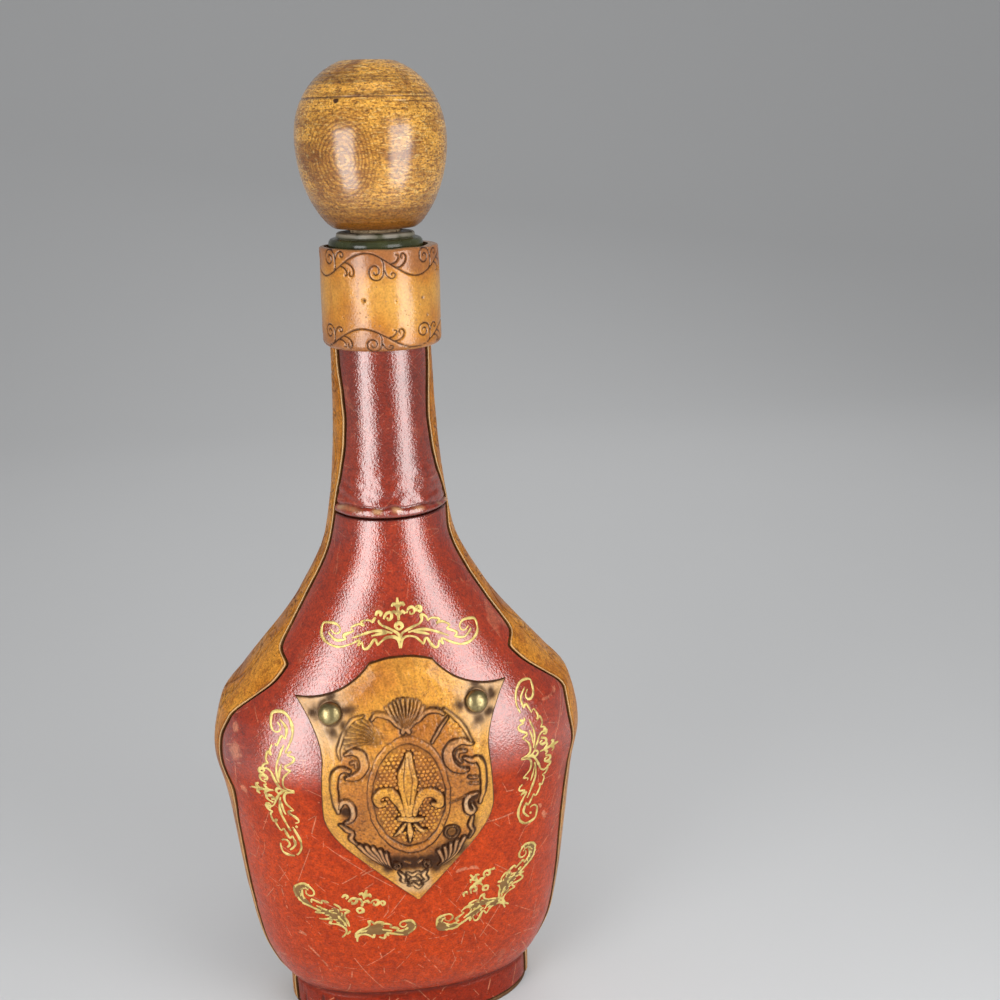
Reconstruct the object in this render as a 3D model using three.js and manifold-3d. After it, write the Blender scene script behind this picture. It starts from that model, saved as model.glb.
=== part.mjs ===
// A decanter: a flattened glass flask covered in glued leather, with a turned wooden stopper.
// Millimetres, +Z up, front of the flask towards -Y, origin on the table under the flask's axis.

import * as THREE from 'three';
import Module from 'manifold-3d';
import { mergeVertices } from 'three/addons/utils/BufferGeometryUtils.js';

// Outline over the leather: each rise is measured from the station below it.
const FOOT_HEIGHT = 10;
const FOOT_HALF_WIDTH = 44.5;
const FOOT_HALF_DEPTH = 26.5;
const UNDERSIDE_RISE = 10;
const UNDERSIDE_HALF_WIDTH = 50.4;
const UNDERSIDE_HALF_DEPTH = 31.5;
const BELLY_RISE = 14;
const BELLY_HALF_WIDTH = 55.3;
const BELLY_HALF_DEPTH = 34.5;
const WALL_RISE = 61;
const WALL_TOP_HALF_WIDTH = 62.9;
const WALL_TOP_HALF_DEPTH = 38.9;
const WIDEST_RISE = 12;
const WIDEST_HALF_WIDTH = 65;
const WIDEST_HALF_DEPTH = 39.9;
const SHOULDER_RISE = 17;
const SHOULDER_HALF_WIDTH = 61.8;
const SHOULDER_HALF_DEPTH = 37.8;
const SLOPE_FOOT_RISE = 8;
const SLOPE_FOOT_HALF_WIDTH = 55.3;
const SLOPE_FOOT_HALF_DEPTH = 35.6;
const SLOPE_RISE = 30;
const SLOPE_TOP_HALF_WIDTH = 31.8;
const SLOPE_TOP_HALF_DEPTH = 25.8;
const ROOT_RISE = 22;
const NECK_ROOT_RADIUS = 21.5;
const NECK_RISE = 36;
const NECK_MID_RADIUS = 17.3;
const NECK_TOP_RISE = 26;
const NECK_TOP_RADIUS = 16.4;
const BODY_POWER = 2.3;
const NECK_POWER = 2;

// Leather layers, glass walls and the clearances between pieces
const GUSSET_THICKNESS = 2.4;
const PANEL_THICKNESS = 1.8;
const GLUE_LINE = 0.6;
const FIT_GAP = 0.3;
const SEAM_GAP = 0.7;
const GLASS_WALL = 3.2;
const GLASS_FLOOR = 6;
const BASE_PAD_THICKNESS = 1.5;
const BASE_PAD_INSET = 0.6;

// Side gussets: half width of the strip, front to back, at stations up the flask
const GUSSET_FOOT_HALF = 9;
const GUSSET_BELLY_HALF = 12;
const GUSSET_WALL_HALF = 15.5;
const GUSSET_SHOULDER_HALF = 16;
const GUSSET_LOBE_RISE = 7;
const GUSSET_LOBE_HALF = 20.3;
const GUSSET_LOBE_LENGTH = 4;
const GUSSET_LOBE_TOP_HALF = 19.8;
const GUSSET_NOTCH_LENGTH = 4.5;
const GUSSET_NOTCH_HALF = 12.8;
const GUSSET_WAIST_LENGTH = 6;
const GUSSET_WAIST_HALF = 10.2;
const GUSSET_ROOT_HALF = 8.4;
const GUSSET_HEM_HALF = 7.7;
const GUSSET_NECK_HALF = 10.2;
const GUSSET_COLLAR_HALF = 7.2;

// Rolled hem at the lower end of each neck panel
const HEM_RISE = 7.7;
const HEM_HEIGHT = 3.2;
const HEM_PROUD = 0.9;

// Collar band and glass lip
const COLLAR_HEIGHT = 31.6;
const COLLAR_RADIUS = 19.5;
const COLLAR_LOW_ROUND = 2.2;
const COLLAR_TOP_ROUND = 0.8;
const COLLAR_TUCK = 2;
const LIP_BEAD_RADIUS = 15.1;
const LIP_BEAD_HEIGHT = 2.2;
const LIP_RIM_RADIUS = 12.5;
const LIP_RIM_HEIGHT = 1.7;
const BORE_RADIUS = 8.3;

// Stopper
const KNOB_RADIUS = 23.7;
const KNOB_LOW_HALF = 26.5;
const KNOB_HIGH_HALF = 23.3;
const KNOB_BOTTOM_FLAT = 13.5;
const KNOB_TOP_FLAT = 7.5;
const KNOB_LIFT = 1.2;
const KNOB_SOCKET_DEPTH = 15;
const CORK_DEPTH = 22;
const CORK_CHAMFER = 1.2;
const CORK_SOCKET_DEPTH = 14;
const DOWEL_RADIUS = 4;

// Shield badge: half widths and heights in its own upright frame, above and below its centre
const SHIELD_HEIGHT = 105.7;
const SHIELD_THICKNESS = 2.2;
const SHIELD_POINT_DROP = 46.2;
const SHIELD_POINT_HALF = 0.8;
const SHIELD_POINT_SWAY = 2;
const SHIELD_FLANK_HALF = 20;
const SHIELD_FLANK_DROP = 26.6;
const SHIELD_HIP_HALF = 28.8;
const SHIELD_HIP_DROP = 10.6;
const SHIELD_WAIST_HALF = 27.7;
const SHIELD_WAIST_RISE = 9.5;
const SHIELD_TIP_HALF = 35;
const SHIELD_TIP_RISE = 29.8;
const SHIELD_CURL_HALF = 19;
const SHIELD_CREST_HALF = 10.5;
const SHIELD_CREST_RISE = 40.3;
const SHIELD_TOP_RISE = 42;
const SHIELD_TOP_HALF = 2;

// Domed studs at the shield's upper corners
const STUD_RADIUS = 3.8;
const STUD_DOME = 2.9;
const STUD_SHANK_RADIUS = 0.9;
const STUD_SPREAD = 24;
const STUD_RISE = 26;

// Mesh steps
const RING_SEGMENTS = 36;
const TURNED_SEGMENTS = 32;
const PANEL_COLUMNS = 14;
const NECK_COLUMNS = 8;
const GUSSET_COLUMNS = 6;
const SHIELD_COLUMNS = 12;
const SHIELD_CURVE_STEPS = 4;
const STUD_SEGMENTS = 16;
const ARC_STEPS = 7;
const ROW_SPACING = 1;
const STATION_STEPS = 2;

// Heights that follow from the sizes above
const undersideZ = FOOT_HEIGHT + UNDERSIDE_RISE;
const bellyZ = undersideZ + BELLY_RISE;
const wallTopZ = bellyZ + WALL_RISE;
const widestZ = wallTopZ + WIDEST_RISE;
const shoulderZ = widestZ + SHOULDER_RISE;
const slopeFootZ = shoulderZ + SLOPE_FOOT_RISE;
const slopeTopZ = slopeFootZ + SLOPE_RISE;
const neckRootZ = slopeTopZ + ROOT_RISE;
const neckMidZ = neckRootZ + NECK_RISE;
const collarLowZ = neckMidZ + NECK_TOP_RISE;
const collarTopZ = collarLowZ + COLLAR_HEIGHT;
const leatherTopZ = collarTopZ - COLLAR_TUCK;
const leatherLowZ = BASE_PAD_THICKNESS + FIT_GAP;
const hemZ = neckRootZ + HEM_RISE;
const beadLowZ = leatherTopZ + FIT_GAP;
const beadTopZ = beadLowZ + COLLAR_TUCK + LIP_BEAD_HEIGHT;
const lipTopZ = beadTopZ + LIP_RIM_HEIGHT;
const knobLowZ = lipTopZ + KNOB_LIFT;
const knobMidZ = knobLowZ + KNOB_LOW_HALF;
const knobTopZ = knobMidZ + KNOB_HIGH_HALF;
const corkTopZ = knobLowZ - FIT_GAP;
const corkLowZ = lipTopZ - CORK_DEPTH;
const corkRadius = BORE_RADIUS - FIT_GAP;
const panelInset = GUSSET_THICKNESS - PANEL_THICKNESS;
const glassInset = GUSSET_THICKNESS + GLUE_LINE;

// Monotone cubic through [position, value] stations: it never swings past a station.
function smoothCurve(stations) {
  const steps = stations.slice(1).map(([at], i) => at - stations[i][0]);
  const slopes = stations.slice(1).map(([, value], i) => (value - stations[i][1]) / steps[i]);
  const last = stations.length - 1;
  const tangents = stations.map((_, i) => {
    if (i === 0) return slopes[0];
    if (i === last) return slopes[last - 1];
    const [before, after] = [slopes[i - 1], slopes[i]];
    if (before * after <= 0) return 0;
    const [heavy, light] = [2 * steps[i] + steps[i - 1], steps[i] + 2 * steps[i - 1]];
    return (heavy + light) / (heavy / before + light / after);
  });
  return (at) => {
    let i = 0;
    while (i < last - 1 && at > stations[i + 1][0]) i += 1;
    const t = (at - stations[i][0]) / steps[i];
    const rest = 1 - t;
    return stations[i][1] * (1 + 2 * t) * rest * rest
      + tangents[i] * steps[i] * t * rest * rest
      + stations[i + 1][1] * t * t * (3 - 2 * t)
      - tangents[i + 1] * steps[i] * t * t * rest;
  };
}

const bodyStations = [
  [FOOT_HEIGHT, FOOT_HALF_WIDTH, FOOT_HALF_DEPTH],
  [undersideZ, UNDERSIDE_HALF_WIDTH, UNDERSIDE_HALF_DEPTH],
  [bellyZ, BELLY_HALF_WIDTH, BELLY_HALF_DEPTH],
  [wallTopZ, WALL_TOP_HALF_WIDTH, WALL_TOP_HALF_DEPTH],
  [widestZ, WIDEST_HALF_WIDTH, WIDEST_HALF_DEPTH],
  [shoulderZ, SHOULDER_HALF_WIDTH, SHOULDER_HALF_DEPTH],
  [slopeFootZ, SLOPE_FOOT_HALF_WIDTH, SLOPE_FOOT_HALF_DEPTH],
  [slopeTopZ, SLOPE_TOP_HALF_WIDTH, SLOPE_TOP_HALF_DEPTH],
  [neckRootZ, NECK_ROOT_RADIUS, NECK_ROOT_RADIUS],
  [neckMidZ, NECK_MID_RADIUS, NECK_MID_RADIUS],
  [collarLowZ, NECK_TOP_RADIUS, NECK_TOP_RADIUS],
  [collarTopZ, NECK_TOP_RADIUS, NECK_TOP_RADIUS],
];
const bodyWidth = smoothCurve(bodyStations.map(([z, width]) => [z, width]));
const bodyDepth = smoothCurve(bodyStations.map(([z, , depth]) => [z, depth]));
const sectionPower = smoothCurve([
  [0, BODY_POWER],
  [slopeFootZ, BODY_POWER],
  [neckRootZ, NECK_POWER],
  [collarTopZ, NECK_POWER],
]);
const halfWidth = (z) => (z <= FOOT_HEIGHT ? FOOT_HALF_WIDTH : bodyWidth(z));
const halfDepth = (z) => (z <= FOOT_HEIGHT ? FOOT_HALF_DEPTH : bodyDepth(z));

const lobeZ = slopeFootZ + GUSSET_LOBE_RISE;
const lobeTopZ = lobeZ + GUSSET_LOBE_LENGTH;
const notchZ = lobeTopZ + GUSSET_NOTCH_LENGTH;
const waistZ = notchZ + GUSSET_WAIST_LENGTH;
const gussetHalf = smoothCurve([
  [0, GUSSET_FOOT_HALF],
  [FOOT_HEIGHT, GUSSET_FOOT_HALF],
  [bellyZ, GUSSET_BELLY_HALF],
  [wallTopZ, GUSSET_WALL_HALF],
  [shoulderZ, GUSSET_SHOULDER_HALF],
  [lobeZ, GUSSET_LOBE_HALF],
  [lobeTopZ, GUSSET_LOBE_TOP_HALF],
  [notchZ, GUSSET_NOTCH_HALF],
  [waistZ, GUSSET_WAIST_HALF],
  [slopeTopZ, GUSSET_ROOT_HALF],
  [hemZ, GUSSET_HEM_HALF],
  [neckMidZ, GUSSET_NECK_HALF],
  [collarLowZ, GUSSET_COLLAR_HALF],
  [collarTopZ, GUSSET_COLLAR_HALF],
]);

const signedPower = (value, power) => Math.sign(value) * Math.abs(value) ** power;

// Point of a section: angle 0 is +X, a right angle is the front, -Y.
function sectionPoint(z, angle, inset) {
  const bend = 2 / sectionPower(z);
  const x = (halfWidth(z) - inset) * signedPower(Math.cos(angle), bend);
  const y = -(halfDepth(z) - inset) * signedPower(Math.sin(angle), bend);
  return new THREE.Vector3(x, y, z);
}

// Angle of the seam that lies a given distance in front of the flask's side.
function seamAngle(z, reach) {
  return Math.asin((reach / halfDepth(z)) ** (sectionPower(z) / 2));
}

// Heights for the rows of a piece: a few steps between the outline's stations, clipped to the piece.
function rowHeights(low, high) {
  const heights = [low];
  const stations = [...bodyStations.map(([z]) => z), lobeZ, lobeTopZ, notchZ, waistZ];
  stations.sort((first, second) => first - second);
  stations.slice(1).forEach((top, i) => {
    for (let step = 0; step < STATION_STEPS; step += 1) {
      const z = stations[i] + ((top - stations[i]) * step) / STATION_STEPS;
      if (z > heights.at(-1) + ROW_SPACING && z < high - ROW_SPACING) heights.push(z);
    }
  });
  return [...heights, high];
}

// Closed geometry from shared points and triangles, turned to face outwards.
function closedGeometry(points, triangles) {
  const volume = triangles.reduce((sum, [a, b, c]) => {
    const normal = new THREE.Vector3().crossVectors(points[b], points[c]);
    return sum + points[a].dot(normal);
  }, 0);
  const facing = volume < 0 ? triangles.map(([a, b, c]) => [a, c, b]) : triangles;
  const geometry = new THREE.BufferGeometry().setFromPoints(points);
  geometry.setIndex(facing.flat());
  geometry.computeVertexNormals();
  return geometry;
}

// A slab between two grids of points with the same rows and columns, closed round its rim.
function slab(outer, inner) {
  const rows = outer.length;
  const columns = outer[0].length;
  const points = [...outer.flat(), ...inner.flat()];
  const at = (side, row, column) => (side * rows + row) * columns + column;
  const triangles = [];
  const quad = (a, b, c, d) => triangles.push([a, b, c], [a, c, d]);
  for (let i = 0; i < rows - 1; i += 1) {
    for (let j = 0; j < columns - 1; j += 1) {
      quad(at(0, i, j), at(0, i, j + 1), at(0, i + 1, j + 1), at(0, i + 1, j));
      quad(at(1, i, j), at(1, i + 1, j), at(1, i + 1, j + 1), at(1, i, j + 1));
    }
    quad(at(0, i, 0), at(0, i + 1, 0), at(1, i + 1, 0), at(1, i, 0));
    quad(at(0, i + 1, columns - 1), at(0, i, columns - 1), at(1, i, columns - 1), at(1, i + 1, columns - 1));
  }
  for (let j = 0; j < columns - 1; j += 1) {
    quad(at(0, 0, j + 1), at(0, 0, j), at(1, 0, j), at(1, 0, j + 1));
    quad(at(0, rows - 1, j), at(0, rows - 1, j + 1), at(1, rows - 1, j + 1), at(1, rows - 1, j));
  }
  return closedGeometry(points, triangles);
}

// A closed loft through rings of points, with a point on the axis at each end.
function loft(rings, start, end) {
  const points = [start, ...rings.flat(), end];
  const count = rings[0].length;
  const at = (ring, k) => 1 + ring * count + (k % count);
  const triangles = [];
  for (let k = 0; k < count; k += 1) {
    triangles.push([0, at(0, k + 1), at(0, k)]);
    triangles.push([points.length - 1, at(rings.length - 1, k), at(rings.length - 1, k + 1)]);
    for (let ring = 0; ring < rings.length - 1; ring += 1) {
      triangles.push([at(ring, k), at(ring, k + 1), at(ring + 1, k + 1)]);
      triangles.push([at(ring, k), at(ring + 1, k + 1), at(ring + 1, k)]);
    }
  }
  return closedGeometry(points, triangles);
}

const ringAngles = Array.from({ length: RING_SEGMENTS }, (_, k) => (k * 2 * Math.PI) / RING_SEGMENTS);
const sectionRing = (z, inset) => ringAngles.map((angle) => sectionPoint(z, angle, inset));
const roundRing = (z, radius) => ringAngles.map(
  (angle) => new THREE.Vector3(radius * Math.cos(angle), -radius * Math.sin(angle), z),
);
const onAxis = (z) => new THREE.Vector3(0, 0, z);

// Turned piece about the Z axis from [radius, height] points
function turned(profile, segments = TURNED_SEGMENTS) {
  const lathe = new THREE.LatheGeometry(profile.map(([r, z]) => new THREE.Vector2(r, z)), segments);
  return lathe.rotateX(Math.PI / 2);
}

// Points on a quarter round between two directions, given in quarter turns
function quarterRound(centreR, centreZ, radius, fromQuarter) {
  const steps = 4;
  return Array.from({ length: steps + 1 }, (_, i) => {
    const angle = (fromQuarter + i / steps) * (Math.PI / 2);
    return [centreR + radius * Math.cos(angle), centreZ + radius * Math.sin(angle)];
  });
}

// Glass flask: outer wall up to the lip, then down the bore and the inside to the floor
function glassBottle() {
  const outer = rowHeights(leatherLowZ, leatherTopZ).map((z) => sectionRing(z, glassInset));
  const lip = [
    roundRing(beadLowZ + COLLAR_TUCK / 2, LIP_BEAD_RADIUS),
    roundRing(beadTopZ - LIP_BEAD_HEIGHT / 2, LIP_BEAD_RADIUS),
    roundRing(beadTopZ, (LIP_BEAD_RADIUS + LIP_RIM_RADIUS) / 2),
    roundRing(beadTopZ, LIP_RIM_RADIUS),
    roundRing(lipTopZ, LIP_RIM_RADIUS),
    roundRing(lipTopZ, BORE_RADIUS),
  ];
  const innerInset = glassInset + GLASS_WALL;
  const floorZ = leatherLowZ + GLASS_FLOOR;
  const boreLowZ = corkLowZ - CORK_DEPTH / 4;
  const boreCurve = smoothCurve([
    [neckMidZ, NECK_MID_RADIUS - innerInset],
    [boreLowZ, BORE_RADIUS],
    [lipTopZ, BORE_RADIUS],
  ]);
  const boreHeights = [boreLowZ, (boreLowZ + neckMidZ) / 2];
  const bore = boreHeights.map((z) => roundRing(z, boreCurve(z)));
  const inside = rowHeights(floorZ, neckMidZ).reverse().map((z) => sectionRing(z, innerInset));
  return loft([...outer, ...lip, ...bore, ...inside], onAxis(leatherLowZ), onAxis(floorZ));
}

// Red leather panel on the front (side 1) or back (side -1) between two heights
function panel(side, heights, columns, insetAt) {
  const grid = (inset) => heights.map((z) => {
    const edge = seamAngle(z, gussetHalf(z) + SEAM_GAP);
    return Array.from({ length: columns + 1 }, (_, j) => {
      const angle = edge + ((Math.PI - 2 * edge) * j) / columns;
      return sectionPoint(z, side * angle, inset(z));
    });
  });
  return slab(grid(insetAt), grid(() => GUSSET_THICKNESS));
}

function bodyPanel(side) {
  const heights = rowHeights(leatherLowZ, hemZ - FIT_GAP);
  return panel(side, heights, PANEL_COLUMNS, () => panelInset);
}

// Neck panel with its lower edge rolled into a hem
function neckPanel(side) {
  const hemSteps = 6;
  const hemTopZ = hemZ + HEM_HEIGHT;
  const hem = Array.from({ length: hemSteps }, (_, i) => hemZ + (HEM_HEIGHT * i) / hemSteps);
  const heights = [...hem, ...rowHeights(hemTopZ, leatherTopZ)];
  const roll = (z) => (z < hemTopZ ? HEM_PROUD * Math.sqrt(Math.sin((Math.PI * (z - hemZ)) / HEM_HEIGHT)) : 0);
  return panel(side, heights, NECK_COLUMNS, (z) => panelInset - roll(z));
}

// Tan leather strip down one side of the flask: side 1 is +X
function gusset(side) {
  const heights = rowHeights(leatherLowZ, leatherTopZ);
  const middle = side > 0 ? 0 : Math.PI;
  const grid = (inset) => heights.map((z) => {
    const edge = seamAngle(z, gussetHalf(z));
    return Array.from({ length: GUSSET_COLUMNS + 1 }, (_, j) => {
      const angle = middle + edge * ((2 * j) / GUSSET_COLUMNS - 1);
      return sectionPoint(z, angle, inset);
    });
  });
  return slab(grid(0), grid(GUSSET_THICKNESS));
}

function neckCollar() {
  const inner = NECK_TOP_RADIUS + FIT_GAP;
  const low = quarterRound(COLLAR_RADIUS - COLLAR_LOW_ROUND, collarLowZ + COLLAR_LOW_ROUND, COLLAR_LOW_ROUND, -1);
  const top = quarterRound(COLLAR_RADIUS - COLLAR_TOP_ROUND, collarTopZ - COLLAR_TOP_ROUND, COLLAR_TOP_ROUND, 0);
  return turned([[inner, collarLowZ], ...low, ...top, [inner, collarTopZ], [inner, collarLowZ]]);
}

function basePad() {
  const rim = [0, BASE_PAD_THICKNESS].map((z) => ringAngles.map((angle) => {
    const point = sectionPoint(0, angle, BASE_PAD_INSET);
    return point.setZ(z);
  }));
  return loft(rim, onAxis(0), onAxis(BASE_PAD_THICKNESS));
}

// Point in front of the flask's front panel, given across and up
function frontPoint(x, z, lift) {
  const power = sectionPower(z);
  const width = halfWidth(z) - panelInset;
  const depth = halfDepth(z) - panelInset;
  const y = -depth * (1 - (Math.abs(x) / width) ** power) ** (1 / power);
  return new THREE.Vector3(x, y - lift, z);
}

// From the shield's own frame, across and up from its centre, to a point in front of the panel:
// below its waist the shield sways to one side, most at its point.
function shieldPoint(across, up, lift) {
  const below = Math.max(0, SHIELD_WAIST_RISE - up) / (SHIELD_WAIST_RISE + SHIELD_POINT_DROP);
  return frontPoint(across + SHIELD_POINT_SWAY * below * below, SHIELD_HEIGHT + up, lift);
}

// Right half of the shield's outline, from its point to the middle of its crest
function shieldOutline() {
  const flankSlope = (SHIELD_POINT_DROP - SHIELD_FLANK_DROP) / (SHIELD_FLANK_HALF - SHIELD_POINT_HALF);
  const cornerDrop = SHIELD_FLANK_DROP - flankSlope * (SHIELD_HIP_HALF - SHIELD_FLANK_HALF);
  const half = new THREE.Path();
  half.moveTo(SHIELD_POINT_HALF, -SHIELD_POINT_DROP);
  half.lineTo(SHIELD_FLANK_HALF, -SHIELD_FLANK_DROP);
  half.quadraticCurveTo(SHIELD_HIP_HALF, -cornerDrop, SHIELD_HIP_HALF, -SHIELD_HIP_DROP);
  half.quadraticCurveTo(SHIELD_HIP_HALF, 0, SHIELD_WAIST_HALF, SHIELD_WAIST_RISE);
  const swayRise = (SHIELD_WAIST_RISE + SHIELD_TIP_RISE) / 2;
  half.quadraticCurveTo(SHIELD_WAIST_HALF, swayRise, SHIELD_TIP_HALF, SHIELD_TIP_RISE);
  half.quadraticCurveTo(SHIELD_CURL_HALF, SHIELD_TIP_RISE, SHIELD_CREST_HALF, SHIELD_CREST_RISE);
  half.quadraticCurveTo(SHIELD_CREST_HALF / 2, SHIELD_TOP_RISE, SHIELD_TOP_HALF, SHIELD_TOP_RISE);
  return half.getPoints(SHIELD_CURVE_STEPS);
}

const wasm = await Module();
wasm.setup();

function toSolid(geometry) {
  const bare = geometry.clone();
  bare.deleteAttribute('normal');
  bare.deleteAttribute('uv');
  const merged = mergeVertices(bare, 1e-4);
  return new wasm.Manifold(new wasm.Mesh({
    numProp: 3,
    vertProperties: merged.attributes.position.array,
    triVerts: Uint32Array.from(merged.index.array),
  }));
}

function toGeometry(solid) {
  const { vertProperties, triVerts } = solid.getMesh();
  const geometry = new THREE.BufferGeometry();
  geometry.setAttribute('position', new THREE.BufferAttribute(vertProperties, 3));
  geometry.setIndex(new THREE.BufferAttribute(triVerts, 1));
  geometry.computeVertexNormals();
  return geometry;
}

// Place of a stud: on the shield's face, turned so that its +Z axis points out of the leather
function studMatrix(side) {
  const lift = GLUE_LINE + SHIELD_THICKNESS;
  const centre = shieldPoint(side * STUD_SPREAD, STUD_RISE, lift);
  const across = shieldPoint(side * STUD_SPREAD + 1, STUD_RISE, lift).sub(centre);
  const up = shieldPoint(side * STUD_SPREAD, STUD_RISE + 1, lift).sub(centre);
  const out = new THREE.Vector3().crossVectors(across, up).normalize();
  const turn = new THREE.Quaternion().setFromUnitVectors(new THREE.Vector3(0, 0, 1), out);
  return new THREE.Matrix4().compose(centre, turn, new THREE.Vector3(1, 1, 1));
}

function shieldBadge() {
  const outline = shieldOutline();
  const grid = (lift) => outline.map(({ x: half, y: up }) => Array.from(
    { length: SHIELD_COLUMNS + 1 },
    (_, j) => shieldPoint(half * ((2 * j) / SHIELD_COLUMNS - 1), up, lift),
  ));
  const plate = slab(grid(GLUE_LINE + SHIELD_THICKNESS), grid(GLUE_LINE));
  const holes = [-1, 1].map((side) => {
    const drill = new THREE.CylinderGeometry(
      STUD_SHANK_RADIUS + FIT_GAP, STUD_SHANK_RADIUS + FIT_GAP, 4 * SHIELD_THICKNESS, 12,
    );
    return toSolid(drill.rotateX(Math.PI / 2).applyMatrix4(studMatrix(side)));
  });
  return toGeometry(holes.reduce((solid, hole) => solid.subtract(hole), toSolid(plate)));
}

// Domed head on a short shank, with its seat at the origin
function studGeometry() {
  const steps = 5;
  const dome = Array.from({ length: steps + 1 }, (_, i) => {
    const angle = (i / steps) * (Math.PI / 2);
    return [STUD_RADIUS * Math.cos(angle), FIT_GAP + STUD_DOME * Math.sin(angle)];
  });
  dome[steps][0] = 0;
  const shankLow = -SHIELD_THICKNESS / 2;
  const shank = [[0, shankLow], [STUD_SHANK_RADIUS, shankLow], [STUD_SHANK_RADIUS, FIT_GAP]];
  return turned([...shank, ...dome], STUD_SEGMENTS);
}

function stopperKnob() {
  const socketRadius = DOWEL_RADIUS + FIT_GAP;
  const socketTopZ = knobLowZ + KNOB_SOCKET_DEPTH;
  const arc = (half, flat, fromSide) => {
    const end = Math.acos(flat / KNOB_RADIUS);
    const reach = half / Math.sin(end);
    return Array.from({ length: ARC_STEPS + 1 }, (_, i) => {
      const angle = fromSide * end * (i / ARC_STEPS);
      return [KNOB_RADIUS * Math.cos(angle), knobMidZ + reach * Math.sin(angle)];
    });
  };
  const low = arc(KNOB_LOW_HALF, KNOB_BOTTOM_FLAT, -1).reverse();
  const high = arc(KNOB_HIGH_HALF, KNOB_TOP_FLAT, 1).slice(1);
  const socket = [[0, socketTopZ], [socketRadius, socketTopZ], [socketRadius, knobLowZ]];
  return turned([...socket, ...low, ...high, [0, knobTopZ]]);
}

function stopperCork() {
  const socketRadius = DOWEL_RADIUS + FIT_GAP;
  const socketLowZ = corkTopZ - CORK_SOCKET_DEPTH;
  return turned([
    [0, corkLowZ],
    [corkRadius - CORK_CHAMFER, corkLowZ],
    [corkRadius, corkLowZ + CORK_CHAMFER],
    [corkRadius, corkTopZ],
    [socketRadius, corkTopZ],
    [socketRadius, socketLowZ],
    [0, socketLowZ],
  ]);
}

function stopperDowel() {
  const lowZ = corkTopZ - CORK_SOCKET_DEPTH + FIT_GAP;
  const topZ = knobLowZ + KNOB_SOCKET_DEPTH - FIT_GAP;
  return turned([[0, lowZ], [DOWEL_RADIUS, lowZ], [DOWEL_RADIUS, topZ], [0, topZ]]);
}

const finishes = {
  glass: { color: 0x2f3d22, roughness: 0.08, metalness: 0 },
  redLeather: { color: 0x9c2e1e, roughness: 0.35, metalness: 0 },
  tanLeather: { color: 0xb97a35, roughness: 0.5, metalness: 0 },
  brass: { color: 0x8a7c40, roughness: 0.3, metalness: 1 },
  wood: { color: 0xa56c30, roughness: 0.4, metalness: 0 },
  cork: { color: 0xc9a26d, roughness: 0.85, metalness: 0 },
  darkLeather: { color: 0x5a3420, roughness: 0.7, metalness: 0 },
};

function piece(name, geometry, finish) {
  const mesh = new THREE.Mesh(geometry, new THREE.MeshStandardMaterial(finishes[finish]));
  mesh.name = name;
  return mesh;
}

function stud(name, side) {
  const mesh = piece(name, studGeometry(), 'brass');
  studMatrix(side).decompose(mesh.position, mesh.quaternion, mesh.scale);
  return mesh;
}

const bottle = new THREE.Group().add(
  piece('glass_bottle', glassBottle(), 'glass'),
  piece('front_body_panel', bodyPanel(1), 'redLeather'),
  piece('back_body_panel', bodyPanel(-1), 'redLeather'),
  piece('front_neck_panel', neckPanel(1), 'redLeather'),
  piece('back_neck_panel', neckPanel(-1), 'redLeather'),
  piece('right_gusset', gusset(1), 'tanLeather'),
  piece('left_gusset', gusset(-1), 'tanLeather'),
  piece('neck_collar', neckCollar(), 'tanLeather'),
  piece('shield_badge', shieldBadge(), 'tanLeather'),
  stud('left_stud', -1),
  stud('right_stud', 1),
  piece('base_pad', basePad(), 'darkLeather'),
);

const stopper = new THREE.Group().add(
  piece('stopper_knob', stopperKnob(), 'wood'),
  piece('stopper_dowel', stopperDowel(), 'wood'),
  piece('stopper_cork', stopperCork(), 'cork'),
);

export default new THREE.Group().add(bottle, stopper);
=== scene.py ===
"""Looks of a leather-wrapped decanter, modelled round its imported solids.

Lengths are in millimetres until a mesh is made, which is in metres. The front faces -Y, and +Z is up.
"""

import logging
import math
from dataclasses import dataclass, field
from enum import Enum
from functools import reduce
from typing import Iterable, Sequence

import bmesh
import bpy
import numpy as np
from mathutils import Matrix, Vector, kdtree, noise


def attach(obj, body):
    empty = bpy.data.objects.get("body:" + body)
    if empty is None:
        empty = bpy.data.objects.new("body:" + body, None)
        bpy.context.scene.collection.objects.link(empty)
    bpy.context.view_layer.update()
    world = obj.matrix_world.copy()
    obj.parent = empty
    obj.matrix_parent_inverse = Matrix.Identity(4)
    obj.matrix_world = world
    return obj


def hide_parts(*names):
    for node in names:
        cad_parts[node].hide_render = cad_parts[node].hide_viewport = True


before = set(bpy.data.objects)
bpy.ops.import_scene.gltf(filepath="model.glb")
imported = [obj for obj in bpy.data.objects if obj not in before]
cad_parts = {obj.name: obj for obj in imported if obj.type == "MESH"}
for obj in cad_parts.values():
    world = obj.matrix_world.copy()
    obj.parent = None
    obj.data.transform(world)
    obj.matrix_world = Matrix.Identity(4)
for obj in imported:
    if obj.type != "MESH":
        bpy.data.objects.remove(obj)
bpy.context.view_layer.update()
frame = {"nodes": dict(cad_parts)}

MM = 0.001
SHARP_EDGE = 40
LOG = logging.getLogger("decanter")

Colour = tuple[float, float, float]
Place = tuple[float, float]
Places = tuple[Place, ...]
Point = tuple[float, float, float]
Four = tuple[float, float, float, float]
Array = np.ndarray
Material = bpy.types.Material
Piece = bpy.types.Object
Socket = bpy.types.NodeSocket
Sockets = dict[str, Socket | float | Sequence[float]]


class Body(Enum):
    """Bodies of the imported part."""

    BOTTLE = "bottle"
    STOPPER = "stopper"


class Face(Enum):
    """Broad faces of the flask, by the sign of their section angle."""

    FRONT = 1
    BACK = -1


class Hand(Enum):
    """Narrow sides of the flask, by the sign of X."""

    LEFT = -1
    RIGHT = 1


# Lines and curves


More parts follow.
